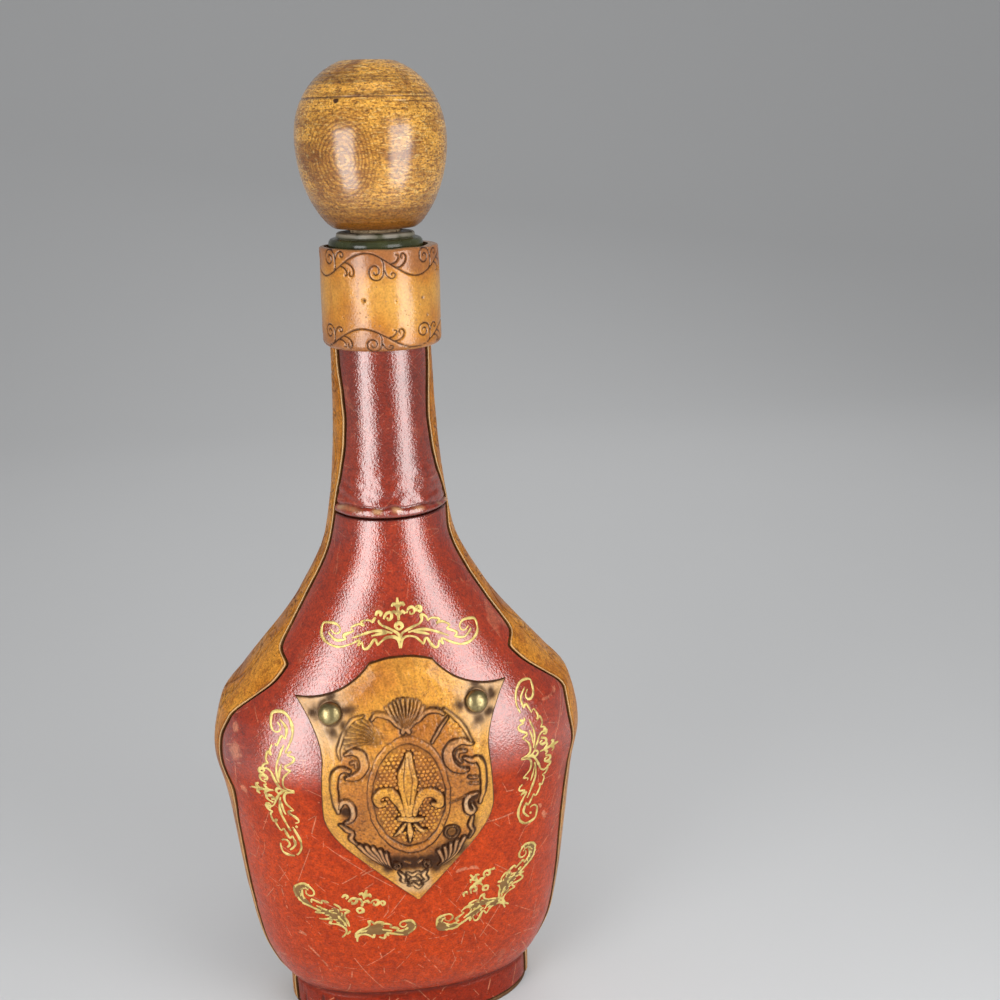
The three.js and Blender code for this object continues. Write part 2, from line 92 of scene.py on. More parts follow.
class SmoothCurve:
    """Monotone cubic through stations, which never swings past one of them."""

    def __init__(self, stations: Sequence[Place]) -> None:
        """Works out the tangents.

        Args:
            stations: Pairs of position and value, in rising order.
        """
        self.at, self.values = np.array(stations, float).T
        self.steps = np.diff(self.at)
        slopes = np.diff(self.values) / self.steps
        before, after = slopes[:-1], slopes[1:]
        heavy = 2 * self.steps[1:] + self.steps[:-1]
        light = self.steps[1:] + 2 * self.steps[:-1]
        turns = before * after <= 0
        before, after = np.where(turns, 1, before), np.where(turns, 1, after)
        middle = np.where(turns, 0, (heavy + light) / (heavy / before + light / after))
        self.tangents = np.concatenate([slopes[:1], middle, slopes[-1:]])

    def __call__(self, at: Array | float) -> Array:
        """Reads the curve.

        Args:
            at: Positions, in any shape.

        Returns:
            The values there.
        """
        at = np.asarray(at, float)
        i = np.clip(np.searchsorted(self.at, at) - 1, 0, len(self.steps) - 1)
        t = (at - self.at[i]) / self.steps[i]
        rest = 1 - t
        ends = self.values[i] * (1 + 2 * t) * rest**2 + self.values[i + 1] * t**2 * (3 - 2 * t)
        return ends + self.steps[i] * t * rest * (self.tangents[i] * rest - self.tangents[i + 1] * t)


def smooth_line(places: Sequence[Sequence[float]], per_span: int = 10) -> Array:
    """Catmull-Rom line through places.

    Args:
        places: Points that the line passes through, in order.
        per_span: Steps between two places.

    Returns:
        The line's points, one to a row.
    """
    knots = np.array(places, float)
    knots = np.vstack([2 * knots[0] - knots[1], knots, 2 * knots[-1] - knots[-2]])
    t = np.linspace(0, 1, per_span, endpoint=False)[:, None]
    spans = [
        b + 0.5 * t * (c - a + t * (2 * a - 5 * b + 4 * c - d + t * (3 * (b - c) + d - a)))
        for a, b, c, d in zip(knots, knots[1:], knots[2:], knots[3:])
    ]
    return np.vstack([*spans, knots[-2]])


def volute(centre: Place, radii: Place, start: float, turns: float, steps: int = 14) -> list[Place]:
    """Places on a spiral.

    Args:
        centre: Middle of the spiral.
        radii: Radius at its first and at its last place.
        start: Direction of its first place from the middle, in degrees.
        turns: Turns that it makes, anticlockwise where positive.
        steps: Number of places.

    Returns:
        The places in order, ready for smooth_line.
    """
    share = np.linspace(0, 1, steps)
    angle = np.radians(start) + 2 * np.pi * turns * share
    radius = radii[0] + (radii[1] - radii[0]) * share
    return list(zip(centre[0] + radius * np.cos(angle), centre[1] + radius * np.sin(angle)))


def walked(points: Array, axis: int = 0) -> Array:
    """Length walked along lines of points.

    Args:
        points: Points, with their coordinates along the last axis.
        axis: Axis that the lines run along.

    Returns:
        The length at each point, from 0.
    """
    steps = np.linalg.norm(np.diff(points, axis=axis), axis=-1)
    start = np.zeros_like(np.take(points[..., 0], [0], axis=axis))
    return np.concatenate([start, np.cumsum(steps, axis=axis)], axis=axis)


def dense(line: Array, pitch: float = 0.12) -> Array:
    """Spaces points evenly along a line.

    Args:
        line: Points of the line, one to a row.
        pitch: Distance between the new points.

    Returns:
        The new points, with both ends.
    """
    along = walked(line)
    at = np.linspace(0, along[-1], max(2, int(along[-1] / pitch)))
    return np.stack([np.interp(at, along, line[:, k]) for k in range(line.shape[1])], axis=1)


class StrokeField:
    """Distances on a flat pattern from a set of drawn lines."""

    def __init__(self, lines: Iterable[Array]) -> None:
        """Plants the lines in a search tree.

        Args:
            lines: Lines of points, with two columns or three with a breadth.
        """
        self.points = np.vstack([dense(line) for line in lines])
        self.tree = kdtree.KDTree(len(self.points))
        for i, (x, y) in enumerate(self.points[:, :2]):
            self.tree.insert((x, y, 0), i)
        self.tree.balance()

    def nearest(self, places: Array) -> tuple[Array, Array]:
        """Finds the nearest drawn point of each place.

        Args:
            places: Places on the pattern, one to a row.

        Returns:
            The distances, and the numbers of the drawn points.
        """
        found = [self.tree.find((x, y, 0))[1:] for x, y in places]
        numbers, distances = np.array(found).T
        return distances, numbers.astype(int)


def together(*parts: Array | float) -> Array:
    """Points from their coordinates, which spread to one shape."""
    return np.stack(np.broadcast_arrays(*parts), axis=-1)


def most(*values: Array) -> Array:
    """Largest of several values at each point."""
    return reduce(np.maximum, values)


def wrapped(angle: Array) -> Array:
    """Angles brought between minus and plus half a turn."""
    return (angle + np.pi) % (2 * np.pi) - np.pi


def rotated(x: Array, y: Array, degrees: float) -> tuple[Array, Array]:
    """Places turned anticlockwise about the origin."""
    along, aside = math.cos(math.radians(degrees)), math.sin(math.radians(degrees))
    return x * along - y * aside, x * aside + y * along


def full_turn(steps: int) -> Array:
    """Angles once round, in even steps."""
    return np.linspace(0, 2 * np.pi, steps, endpoint=False)


def soft_step(value: Array, low: float, high: float) -> Array:
    """Smooth rise from 0 at low to 1 at high."""
    t = np.clip((value - low) / (high - low), 0, 1)
    return t * t * (3 - 2 * t)


def bell(value: Array, breadth: float) -> Array:
    """Bell that is 1 at zero and fades over a breadth."""
    return np.exp(-((value / breadth) ** 2))


def edge_drop(distance: Array, radius: float) -> Array:
    """How far a rounded edge falls away at a distance from the edge."""
    short = np.clip(radius - distance, 0, radius)
    return radius - np.sqrt(radius**2 - short**2)


def ripple(points: Array, length: float, shift: float) -> Array:
    """Smooth waves of a wavelength, between about -1 and 1, at points of any grid."""
    flat = points.reshape(-1, 3) / length + shift
    return np.array([noise.noise(p) for p in flat]).reshape(points.shape[:-1])


def drift(places: Array, levels: Place) -> Array:
    """Smooth wandering across and up at flat places, each read from a level of its own."""
    return np.array([[noise.noise((x, y, level)) for level in levels] for x, y in places])


def rows_between(low: float, high: float, pitch: float, fine: Sequence[float] = ()) -> Array:
    """Row positions at a pitch, closer at both ends and round some places.

    Args:
        low: First row.
        high: Last row.
        pitch: Spacing of the plain rows.
        fine: Places with closer rows.

    Returns:
        The positions in rising order.
    """
    near = np.array([0, 0.12, 0.3, 0.55, 0.85, 1.2])
    plain = np.linspace(low, high, max(2, round((high - low) / pitch)))[1:-1]
    close = [np.concatenate([place - 2.5 * near, place + 2.5 * near]) for place in fine]
    rows = np.unique(np.concatenate([low + near, plain, high - near, *close]).round(4))
    rows = rows[(rows >= low) & (rows <= high)]
    return rows[np.concatenate([[True], np.diff(rows) > 0.05])]


# Meshes


def stand(name: str, data: bpy.types.ID) -> Piece:
    """Links a new object to the scene.

    Args:
        name: Its name.
        data: Its mesh, lamp or lens.

    Returns:
        The object.
    """
    made = bpy.data.objects.new(name, data)
    bpy.context.scene.collection.objects.link(made)
    return made


def lathe(profile: Iterable[Place], steps: int, way: int = 1) -> Array:
    """Rings of points about the axis from radius and height, anticlockwise where the way is 1."""
    turn = full_turn(steps)
    return np.array([together(r * np.cos(turn), way * r * np.sin(turn), z) for r, z in profile])


def outward(rings: Array) -> Array:
    """Unit directions away from the axis at rings of points."""
    out = rings * (1, 1, 0)
    return out / np.linalg.norm(out, axis=-1, keepdims=True)


def grid_quads(at: Array) -> list[list[int]]:
    """Quads between the neighbours of a grid of point numbers."""
    corners = [at[:-1, :-1], at[:-1, 1:], at[1:, 1:], at[1:, :-1]]
    return np.stack(corners, axis=-1).reshape(-1, 4).tolist()


@dataclass
class Skin:
    """Closed surface as points, faces and values on the points."""

    points: Array
    faces: list[list[int]]
    values: dict[str, Array] = field(default_factory=dict)

    @classmethod
    def slab(cls, outer: Array, inner: Array) -> "Skin":
        """Slab between an outer grid of points and an inner one with as many rows.

        Args:
            outer: Grid of points on the face that shows.
            inner: Grid of points behind it, which may have fewer columns.

        Returns:
            The closed skin, whose first points are the outer grid's.
        """
        rows, columns = outer.shape[:2]
        top = np.arange(rows * columns).reshape(rows, columns)
        under = top.size + np.arange(rows * inner.shape[1]).reshape(rows, -1)
        sides = [np.stack([under[:, 0], top[:, 0]], 1), np.stack([top[:, -1], under[:, -1]], 1)]
        faces = [quad for grid in (top, under[:, ::-1], *sides) for quad in grid_quads(grid)]
        faces.append([*top[0, ::-1].tolist(), *under[0].tolist()])
        faces.append([*top[-1].tolist(), *under[-1, ::-1].tolist()])
        return cls(np.vstack([outer.reshape(-1, 3), inner.reshape(-1, 3)]), faces)

    @classmethod
    def turned(cls, rings: Array) -> "Skin":
        """Skin through closed rings of points, with a point in the middle of each end ring.

        Args:
            rings: Rings by points by coordinates.

        Returns:
            The closed skin, whose first points are the rings'.
        """
        at = np.arange(rings.shape[0] * rings.shape[1]).reshape(rings.shape[:2])
        loop = np.concatenate([at, at[:, :1]], axis=1)
        points = np.vstack([rings.reshape(-1, 3), rings[0].mean(0), rings[-1].mean(0)])
        faces = grid_quads(loop)
        faces += [[at.size, b, a] for a, b in zip(loop[0, :-1].tolist(), loop[0, 1:].tolist())]
        faces += [[at.size + 1, a, b] for a, b in zip(loop[-1, :-1].tolist(), loop[-1, 1:].tolist())]
        return cls(points, faces)

    @classmethod
    def hoop(cls, rings: Array) -> "Skin":
        """Skin of a hoop, whose last ring is joined to its first.

        Args:
            rings: Rings by points by coordinates.

        Returns:
            The closed skin.
        """
        at = np.arange(rings.shape[0] * rings.shape[1]).reshape(rings.shape[:2])
        at = np.concatenate([at, at[:, :1]], axis=1)
        return cls(rings.reshape(-1, 3), grid_quads(np.concatenate([at, at[:1]])))

    def mark(self, name: str, values: Array, rest: float = 0) -> "Skin":
        """Gives the points some values.

        Args:
            name: Name of the attribute.
            values: Values of the first points.
            rest: Value of all other points.

        Returns:
            The skin itself.
        """
        tail = np.full(len(self.points) - values.size, rest)
        self.values[name] = np.concatenate([values.ravel(), tail])
        return self

    def piece(self, name: str, material: Material) -> Piece:
        """Makes the mesh object.

        Args:
            name: Name of the piece.
            material: Its finish.

        Returns:
            The object, at the origin, with its faces pointing outwards.
        """
        mesh = bpy.data.meshes.new(name)
        mesh.from_pydata((self.points * MM).tolist(), [], self.faces)
        shell = bmesh.new()
        shell.from_mesh(mesh)
        inside_out = shell.calc_volume(signed=True) < 0
        shell.free()
        if inside_out:
            mesh.flip_normals()
        for key, values in self.values.items():
            layer = mesh.attributes.new(key, "FLOAT", "POINT")
            layer.data.foreach_set("value", values.astype(np.float32))
        mesh.shade_smooth()
        mesh.set_sharp_from_angle(angle=math.radians(SHARP_EDGE))
        mesh.materials.append(material)
        return stand(name, mesh)


def settle(piece: Piece, body: Body, nodes: Sequence[str] = ()) -> None:
    """Seats a finished piece on its body and reports it.

    Args:
        piece: The piece, in place.
        body: Body that carries it.
        nodes: Solids that it stands for.
    """
    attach(piece, body.value)
    if nodes:
        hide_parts(*nodes)
    LOG.info("%s: %d faces, on %s", piece.name, len(piece.data.polygons), body.value)


# Node trees


class Graph:
    """Adds and joins the nodes of one tree."""

    def __init__(self, tree: bpy.types.NodeTree) -> None:
        """Clears the tree."""
        self.tree = tree
        self.tree.nodes.clear()

    def add(self, kind: str, inputs: dict | None = None, **settings: object) -> bpy.types.Node:
        """Adds a node.

        Args:
            kind: Blender's name for the node's type.
            inputs: Values or sockets for its inputs, by name or number.
            settings: Values for its properties.

        Returns:
            The node.
        """
        node = self.tree.nodes.new(kind)
        for key, value in settings.items():
            setattr(node, key, value)
        for key, value in (inputs or {}).items():
            if isinstance(value, Socket):
                self.tree.links.new(value, node.inputs[key])
            else:
                node.inputs[key].default_value = value
        return node

    def place(self, turn: Sequence[float] = (0, 0, 0), scale: Sequence[float] = (1, 1, 1)) -> Socket:
        """Object coordinates, turned and scaled.

        Args:
            turn: Angles about X, Y and Z, in degrees.
            scale: Scale along X, Y and Z.

        Returns:
            The vector.
        """
        at = self.add("ShaderNodeTexCoord").outputs["Object"]
        angles = [math.radians(angle) for angle in turn]
        inputs = {"Vector": at, "Rotation": angles, "Scale": scale}
        return self.add("ShaderNodeMapping", inputs).outputs[0]

    def noise(self, scale: float, detail: float, place: Socket | None = None, twist: float = 0) -> Socket:
        """Cloudy noise between 0 and 1."""
        inputs = {"Vector": place or self.place(), "Scale": scale, "Detail": detail, "Distortion": twist}
        return self.add("ShaderNodeTexNoise", inputs).outputs["Fac"]

    def cells(self, scale: float) -> Socket:
        """Distance in a field of cells."""
        return self.add("ShaderNodeTexVoronoi", {"Vector": self.place(), "Scale": scale}).outputs["Distance"]

    def attribute(self, name: str) -> Socket:
        """Value that the mesh carries under a name."""
        return self.add("ShaderNodeAttribute", attribute_name=name).outputs["Fac"]

    def sum(self, operation: str, first: Socket | float, second: Socket | float) -> Socket:
        """Result of a sum on two values."""
        return self.add("ShaderNodeMath", {0: first, 1: second}, operation=operation).outputs[0]

    def times(self, first: Socket, second: Socket | float) -> Socket:
        """Product of two values."""
        return self.sum("MULTIPLY", first, second)

    def vector(self, operation: str, first: Socket, second: Socket | Sequence[float] = (0, 0, 0)) -> Socket:
        """Result of a sum on two vectors."""
        return self.add("ShaderNodeVectorMath", {0: first, 1: second}, operation=operation).outputs[0]

    def step(self, value: Socket, low: float, high: float, ends: Place = (0, 1)) -> Socket:
        """Smooth change from one end value at low to the other at high."""
        inputs = {0: value, 1: low, 2: high, 3: ends[0], 4: ends[1]}
        return self.add("ShaderNodeMapRange", inputs, interpolation_type="SMOOTHSTEP").outputs[0]

    def climb(self, span: Place, ends: Place) -> Socket:
        """Smooth change from one end value to the other between two heights in millimetres."""
        height = self.add("ShaderNodeSeparateXYZ", {0: self.place()}).outputs["Z"]
        return self.step(height, span[0] * MM, span[1] * MM, ends)

    def mix(self, share: Socket | float, first: Socket | Colour, second: Socket | Colour,
            mode: str = "MIX") -> Socket:
        """Blends two colours.

        Args:
            share: Share of the second colour.
            first: Colour where the share is 0.
            second: Colour where it is 1.
            mode: Blender's name for the blend.

        Returns:
            The blend.
        """
        first, second = [c if isinstance(c, Socket) else (*c, 1) for c in (first, second)]
        inputs = {0: share, 6: first, 7: second}
        return self.add("ShaderNodeMix", inputs, data_type="RGBA", blend_type=mode).outputs[2]

    def paint(self, colour: Socket | Colour, *layers: tuple[Socket, Colour]) -> Socket:
        """Paints layers over a colour.

        Args:
            colour: Ground under the layers.
            layers: Share and colour of each layer, from the lowest.

        Returns:
            The painted colour.
        """
        for share, over in layers:
            colour = self.mix(share, colour, over)
        return colour

    def tones(self, value: Socket, *stops: tuple[float, Colour]) -> Socket:
        """Reads a colour ramp.

        Args:
            value: Position on the ramp.
            stops: Positions and colours, in rising order.

        Returns:
            The colour there.
        """
        node = self.add("ShaderNodeValToRGB", {0: value})
        for _ in stops[2:]:
            node.color_ramp.elements.new(1)
        for element, (at, colour) in zip(node.color_ramp.elements, stops):
            element.position, element.color = at, (*colour, 1)
        return node.outputs["Color"]

    def bump(self, height: Socket, depth: float, below: Socket | None = None) -> Socket:
        """Normal bumped by a height of a depth in millimetres, over another bump where there is one."""
        inputs = {"Height": height, "Distance": depth * MM, **({"Normal": below} if below else {})}
        return self.add("ShaderNodeBump", inputs).outputs[0]

    def fleck(self, colour: Socket, scale: float, share: float) -> Socket:
        """Gives a colour a fine grain.

        Args:
            colour: Colour without the grain.
            scale: Scale of the grain.
            share: How much it darkens the colour. It lightens it a little less.

        Returns:
            The grained colour.
        """
        grain = self.noise(scale, 2)
        grey = self.tones(grain, (0.34, (1 - share,) * 3), (0.5, (1, 1, 1)), (0.68, (1 + 0.7 * share,) * 3))
        return self.mix(1.0, colour, grey, "MULTIPLY")

    def spot(self, centre: Sequence[float], radius: float) -> Socket:
        """Soft ragged spot.

        Args:
            centre: Its middle, in millimetres.
            radius: Its radius, in millimetres.

        Returns:
            A value of 1 in the spot and 0 around it.
        """
        inputs = {0: self.place(), 1: [value * MM for value in centre]}
        away = self.add("ShaderNodeVectorMath", inputs, operation="DISTANCE").outputs["Value"]
        ragged = self.sum("ADD", away, self.times(self.noise(420, 4), 0.9 * radius * MM))
        return self.step(ragged, 1.4 * radius * MM, 0.9 * radius * MM)

    def hairlines(self, cell: float, breadth: float, shift: float, share: float) -> Socket:
        """Thin straight scratches in all directions.

        Args:
            cell: Length of the longest ones, in millimetres.
            breadth: Their breadth, in millimetres.
            shift: Number that tells one set from another.
            share: Share of them that shows, from 0 to 1.

        Returns:
            A value of 1 on a scratch and 0 beside it.
        """
        at = self.vector("ADD", self.place(), (shift, shift, shift))
        cells = self.add("ShaderNodeTexVoronoi", {"Vector": at, "Scale": 1 / (cell * MM)}).outputs
        way = self.vector("NORMALIZE", self.vector("SUBTRACT", cells["Color"], (0.5, 0.5, 0.5)))
        off = self.vector("SUBTRACT", at, cells["Position"])
        apart = self.add("ShaderNodeVectorMath", {0: off, 1: way}, operation="DOT_PRODUCT").outputs["Value"]
        thin = self.step(self.sum("ABSOLUTE", apart, 0), breadth * MM, 0.35 * breadth * MM)
        chance = self.add("ShaderNodeTexWhiteNoise", {"Vector": cells["Position"]}).outputs["Value"]
        broken = self.step(self.noise(3.1 / (cell * MM), 2, at), 0.44, 0.52)
        return self.times(thin, self.times(self.sum("LESS_THAN", chance, share), broken))


def point_cloud(name: str, points: Array, edges: list[tuple[int, int]],
                vectors: Array, sizes: Array) -> Piece:
    """Bare points, or lines of them, that a geometry tree turns into a piece.

    Args:
        name: Name of the piece.
        points: Places, one to a row.
        edges: Pairs of point numbers.
        vectors: Direction that points out of the surface at each point.
        sizes: Size of the thing at each point.

    Returns:
        The object, with the attributes lie and size.
    """
    mesh = bpy.data.meshes.new(name)
    mesh.from_pydata((points * MM).tolist(), edges, [])
    lie = mesh.attributes.new("lie", "FLOAT_VECTOR", "POINT")
    lie.data.foreach_set("vector", vectors.astype(np.float32).ravel())
    size = mesh.attributes.new("size", "FLOAT", "POINT")
    size.data.foreach_set("value", sizes.astype(np.float32))
    return stand(name, mesh)


class GeometryTree(Graph):
    """Geometry tree with named inputs, which ends in real faces with a material."""

    def __init__(self, name: str, inputs: dict[str, float]) -> None:
        """Makes the tree's interface.

        Args:
            name: Name of the tree.
            inputs: Its sizes, by name.
        """
        super().__init__(bpy.data.node_groups.new(name, "GeometryNodeTree"))
        self.values, self.keys = inputs, {}
        kinds = {"Geometry": "Geometry", **dict.fromkeys(inputs, "Float"), "Finish": "Material"}
        for label, kind in kinds.items():
            socket = self.tree.interface.new_socket(label, in_out="INPUT", socket_type=f"NodeSocket{kind}")
            self.keys[label] = socket.identifier
        self.tree.interface.new_socket("Geometry", in_out="OUTPUT", socket_type="NodeSocketGeometry")
        self.entry = self.add("NodeGroupInput")

    def named(self, name: str, kind: str) -> Socket:
        """Value that the points carry under a name."""
        return self.add("GeometryNodeInputNamedAttribute", {"Name": name}, data_type=kind).outputs[0]

    def close(self, geometry: Socket) -> None:
        """Ends the tree in real faces with the finish.

        Args:
            geometry: What the tree has made so far.
        """
        smooth = self.add("GeometryNodeSetShadeSmooth", {"Geometry": geometry})
        real = self.add("GeometryNodeRealizeInstances", {"Geometry": smooth.outputs[0]})
        inputs = {"Geometry": real.outputs[0], "Material": self.entry.outputs["Finish"]}
        dressed = self.add("GeometryNodeSetMaterial", inputs)
        self.add("NodeGroupOutput", {"Geometry": dressed.outputs[0]})

    def grow(self, seedling: Piece, finish: Material) -> Piece:
        """Runs the tree on an object and keeps the result as its plain mesh.

        Args:
            seedling: Object with the points.
            finish: Material of the result.

        Returns:
            The same object, with its new mesh and no modifier.
        """
        modifier = seedling.modifiers.new(self.tree.name, "NODES")
        modifier.node_group = self.tree
        for label, value in self.values.items():
            modifier[self.keys[label]] = float(value)
        modifier[self.keys["Finish"]] = finish
        ready = seedling.evaluated_get(bpy.context.evaluated_depsgraph_get())
        mesh = bpy.data.meshes.new_from_object(ready)
        seedling.modifiers.clear()
        seedling.data = mesh
        mesh.name = seedling.name
        return seedling


# Finishes


@dataclass(frozen=True)
class Finish:
    """A named material, whose nodes each kind of finish lays out."""

    name: str

    def lay_out(self, graph: Graph) -> Sockets:
        """Lays out the nodes that feed the shader.

        Args:
            graph: Node tree of the material.

        Returns:
            Values and sockets for the shader's inputs, by their names.
        """
        raise NotImplementedError

    def make(self) -> Material:
        """Makes the material.

        Returns:
            The material, with its nodes joined.
        """
        material = bpy.data.materials.new(self.name)
        material.use_nodes = True
        graph = Graph(material.node_tree)
        shader = graph.add("ShaderNodeBsdfPrincipled", self.lay_out(graph))
        graph.add("ShaderNodeOutputMaterial", {"Surface": shader.outputs[0]})
        return material


@dataclass(frozen=True)
class RedLeather(Finish):
    """Waxed red leather: cloudy colour, darker up the neck, scuffed and scratched, with painted light low on
    the body and painted shade on the shoulder, at the foot and in creases.

    The spans are the heights, in millimetres, between which a change takes place.
    """

    name: str = "red_waxed_leather"
    deep: Colour = (0.25, 0.016, 0.003)
    bright: Colour = (0.45, 0.042, 0.004)
    smoked_and_shade: Colour = (0.060, 0.009, 0.006)
    painted_light_red: Colour = (0.60, 0.062, 0.005)
    rubbed: Colour = (0.62, 0.20, 0.10)
    bared: Colour = (0.62, 0.34, 0.15)
    painted_light_span: Place = (108, 70)
    shoulder_shade_span: Place = (100, 125)
    foot_shade_span: Place = (20, 12)
    smoke_span: Place = (172, 225)
    scratch_span: Place = (150, 95)
    polish_span: Place = (101, 112)
    rubs: tuple[Four, ...] = (
        (-55.7, -19.3, 121.6, 2.3), (-56.6, -21, 113.6, 4), (-55, -23, 100, 2.2), (54, -20, 92, 1.6),
    )
    hairs: tuple[Four, ...] = (
        (17, 0.2, 0, 0.8), (8, 0.15, 0.37, 0.6), (33, 0.22, 0.71, 0.7), (12, 0.18, 0.13, 0.6),
    )

    def lay_out(self, graph: Graph) -> Sockets:
        """Cloudy reds, painted light low on the body, painted shade on the shoulder and at the foot, pale
        scuffs, dark seam edges with painted shade in creases, and a fine grain under wax.
        """
        broad, small = graph.noise(38, 6), graph.noise(150, 6)
        clouds = graph.sum("ADD", graph.times(broad, 0.6), graph.times(small, 0.4))
        scuffs = graph.step(graph.noise(110, 8, twist=0.6), 0.60, 0.70)
        wear = graph.times(scuffs, graph.step(graph.noise(21, 2), 0.50, 0.64, (0, 0.28)))
        lines = 0.0
        for cell, breadth, shift, share in self.hairs:
            lines = graph.sum("MAXIMUM", graph.hairlines(cell, breadth, shift, share), lines)
        wear = graph.sum("MAXIMUM", wear, graph.times(lines, graph.climb(self.scratch_span, (0.3, 0.85))))
        for *centre, radius in self.rubs:
            wear = graph.sum("MAXIMUM", wear, graph.times(graph.spot(centre, radius), 0.75))
        colour = graph.paint(
            graph.tones(clouds, (0.36, self.deep), (0.55, self.bright)),
            # Painted light: a brighter red low on the body.
            (graph.climb(self.painted_light_span, (0, 0.5)), self.painted_light_red),
            # Painted shade: a deeper red on the shoulder.
            (graph.climb(self.shoulder_shade_span, (0, 0.5)), self.deep),
            # Painted shade: a deeper red at the foot, by the floor.
            (graph.climb(self.foot_shade_span, (0, 0.9)), self.deep),
            (graph.step(graph.noise(620, 4), 0.35, 0.62, (0.3, 0)), self.deep),
            (graph.times(graph.climb(self.smoke_span, (0, 0.85)), graph.noise(60, 6)), self.smoked_and_shade),
            (wear, self.rubbed),
        )
        colour = graph.paint(
            graph.fleck(graph.fleck(colour, 1500, 0.3), 480, 0.2),
            (graph.times(graph.attribute("worn"), 0.8), self.bared),
            # The edge value darkens the seam edges and paints shade into the foot's fold and the hem's
            # crease.
            (graph.times(graph.attribute("edge"), 0.9), self.smoked_and_shade),
        )
        grain = graph.sum("ADD", graph.noise(2400, 3), graph.times(graph.cells(1250), 0.8))
        swell = graph.noise(260, 5)
        normal = graph.bump(swell, 0.14, graph.bump(grain, 0.075))
        return {
            "Base Color": colour, "Normal": graph.bump(graph.times(lines, -1.0), 0.04, normal),
            "Roughness": graph.step(graph.noise(130, 5), 0.3, 0.7, (0.26, 0.40)),
            "Specular IOR Level": 0.4, "Specular Tint": (1, 0.3, 0.2, 1),
            "Coat Weight": graph.climb(self.polish_span, (0.10, 1.0)),
            "Coat Normal": graph.bump(swell, 0.03, graph.bump(grain, 0.065)),
            "Coat Roughness": 0.10, "Coat IOR": 2.0,
        }


@dataclass(frozen=True)
class TooledLeather(Finish):
    """Tan leather with stained tooling, open pores and pale or dark cut edges."""

    pale: Colour = (0.64, 0.29, 0.050)
    warm: Colour = (0.49, 0.175, 0.022)
    deep: Colour = (0.27, 0.075, 0.010)
    stain: Colour = (0.026, 0.007, 0.004)
    cut: Colour = (0.68, 0.48, 0.25)
    pores: float = 0.45
    mottle: float = 0.3
    grain: float = 0.3
    gloss: float = 0.40
    coat: float = 0.12
    relief: float = 1.0

    def lay_out(self, graph: Graph) -> Sockets:
        """Cloudy tans, pores, stain in the tooling and the colour of the cut, which on the badge also paints
        highlights.
        """
        clouds = graph.sum("ADD", graph.noise(48, 6, twist=0.4), graph.attribute("fade"))
        fibre = graph.noise(1, 3, graph.place((0, 14, 0), (900, 300, 90)))
        colour = graph.paint(
            graph.tones(clouds, (0.30, self.deep), (0.46, self.warm), (0.68, self.pale)),
            (graph.step(fibre, 0.52, 0.74, (0, 0.35)), self.deep),
            (graph.step(graph.noise(330, 6, twist=0.8), 0.52, 0.64, (0, self.mottle)), self.deep),
        )
        patches = graph.noise(300, 4)
        specks = graph.step(graph.cells(640), 0.20, 0.10)
        specks = graph.times(specks, graph.step(graph.noise(85, 3), 0.44, 0.6))
        stained = graph.sum("POWER", graph.attribute("stain"), graph.step(patches, 0.25, 0.6, (2.2, 1)))
        colour = graph.paint(
            graph.fleck(graph.fleck(colour, 1500, self.grain), 480, 0.4 * self.grain),
            (graph.times(specks, self.pores), self.stain),
            # The cut value brings pale cut edges, and on the badge painted highlights.
            (graph.times(graph.attribute("cut"), graph.step(patches, 0.25, 0.6, (0.75, 1))), self.cut),
            (stained, self.stain),
        )
        grain = graph.sum("ADD", graph.noise(1300, 4), graph.times(specks, -0.8))
        normal = graph.bump(graph.noise(190, 4), 0.14, graph.bump(grain, 0.07 * self.relief))
        return {
            "Base Color": colour, "Normal": normal,
            "Roughness": graph.step(graph.noise(110, 4), 0.3, 0.7, (self.gloss - 0.07, self.gloss + 0.10)),
            "Coat Weight": graph.step(stained, 0.3, 1, (self.coat, 0.2 * self.coat)),
            "Coat Roughness": 0.2, "Coat IOR": 1.8, "Coat Normal": normal,
            "Specular IOR Level": 0.42, "Specular Tint": (1, 0.62, 0.3, 1),
        }


@dataclass(frozen=True)
class GoldLeaf(Finish):
    """Gold leaf of the tooling, thin and worn through to the red."""

    name: str = "tooled_gold_leaf"
    bright: Colour = (0.84, 0.67, 0.23)
    dull: Colour = (0.60, 0.44, 0.12)
    ground: Colour = (0.17, 0.052, 0.014)

    def lay_out(self, graph: Graph) -> Sockets:
        """Patchy gold, with the ground where it is worn."""
        gold = graph.tones(graph.noise(420, 4), (0.35, self.dull), (0.6, self.bright))
        worn = graph.times(graph.step(graph.noise(330, 6), 0.54, 0.62), graph.noise(40, 2))
        wash = graph.step(graph.attribute("size"), 2.3, 2.6, (0, 0.85))
        return {
            "Base Color": graph.mix(graph.sum("MAXIMUM", worn, wash), gold, self.ground), "Metallic": 0.35,
            "Roughness": graph.step(graph.noise(800, 3), 0.3, 0.7, (0.32, 0.52)),
            "Normal": graph.bump(graph.noise(1400, 3), 0.05),
        }


@dataclass(frozen=True)
class AgedBrass(Finish):
    """Brass rubbed bright on the crown and brown in its scratches."""

    name: str = "aged_stud_brass"
    bright: Colour = (0.47, 0.38, 0.18)
    brown: Colour = (0.15, 0.105, 0.045)

    def lay_out(self, graph: Graph) -> Sockets:
        """Patchy tarnish, dark at the rim, and fine scratches."""
        tarnish = graph.sum("ADD", graph.noise(700, 5), graph.times(graph.attribute("edge"), 0.5))
        return {
            "Base Color": graph.tones(tarnish, (0.38, self.bright), (0.82, self.brown)), "Metallic": 1.0,
            "Roughness": graph.step(tarnish, 0.35, 0.8, (0.34, 0.55)),
            "Normal": graph.bump(graph.noise(1, 2, graph.place((0, 35, 20), (6000, 900, 900))), 0.02),
        }


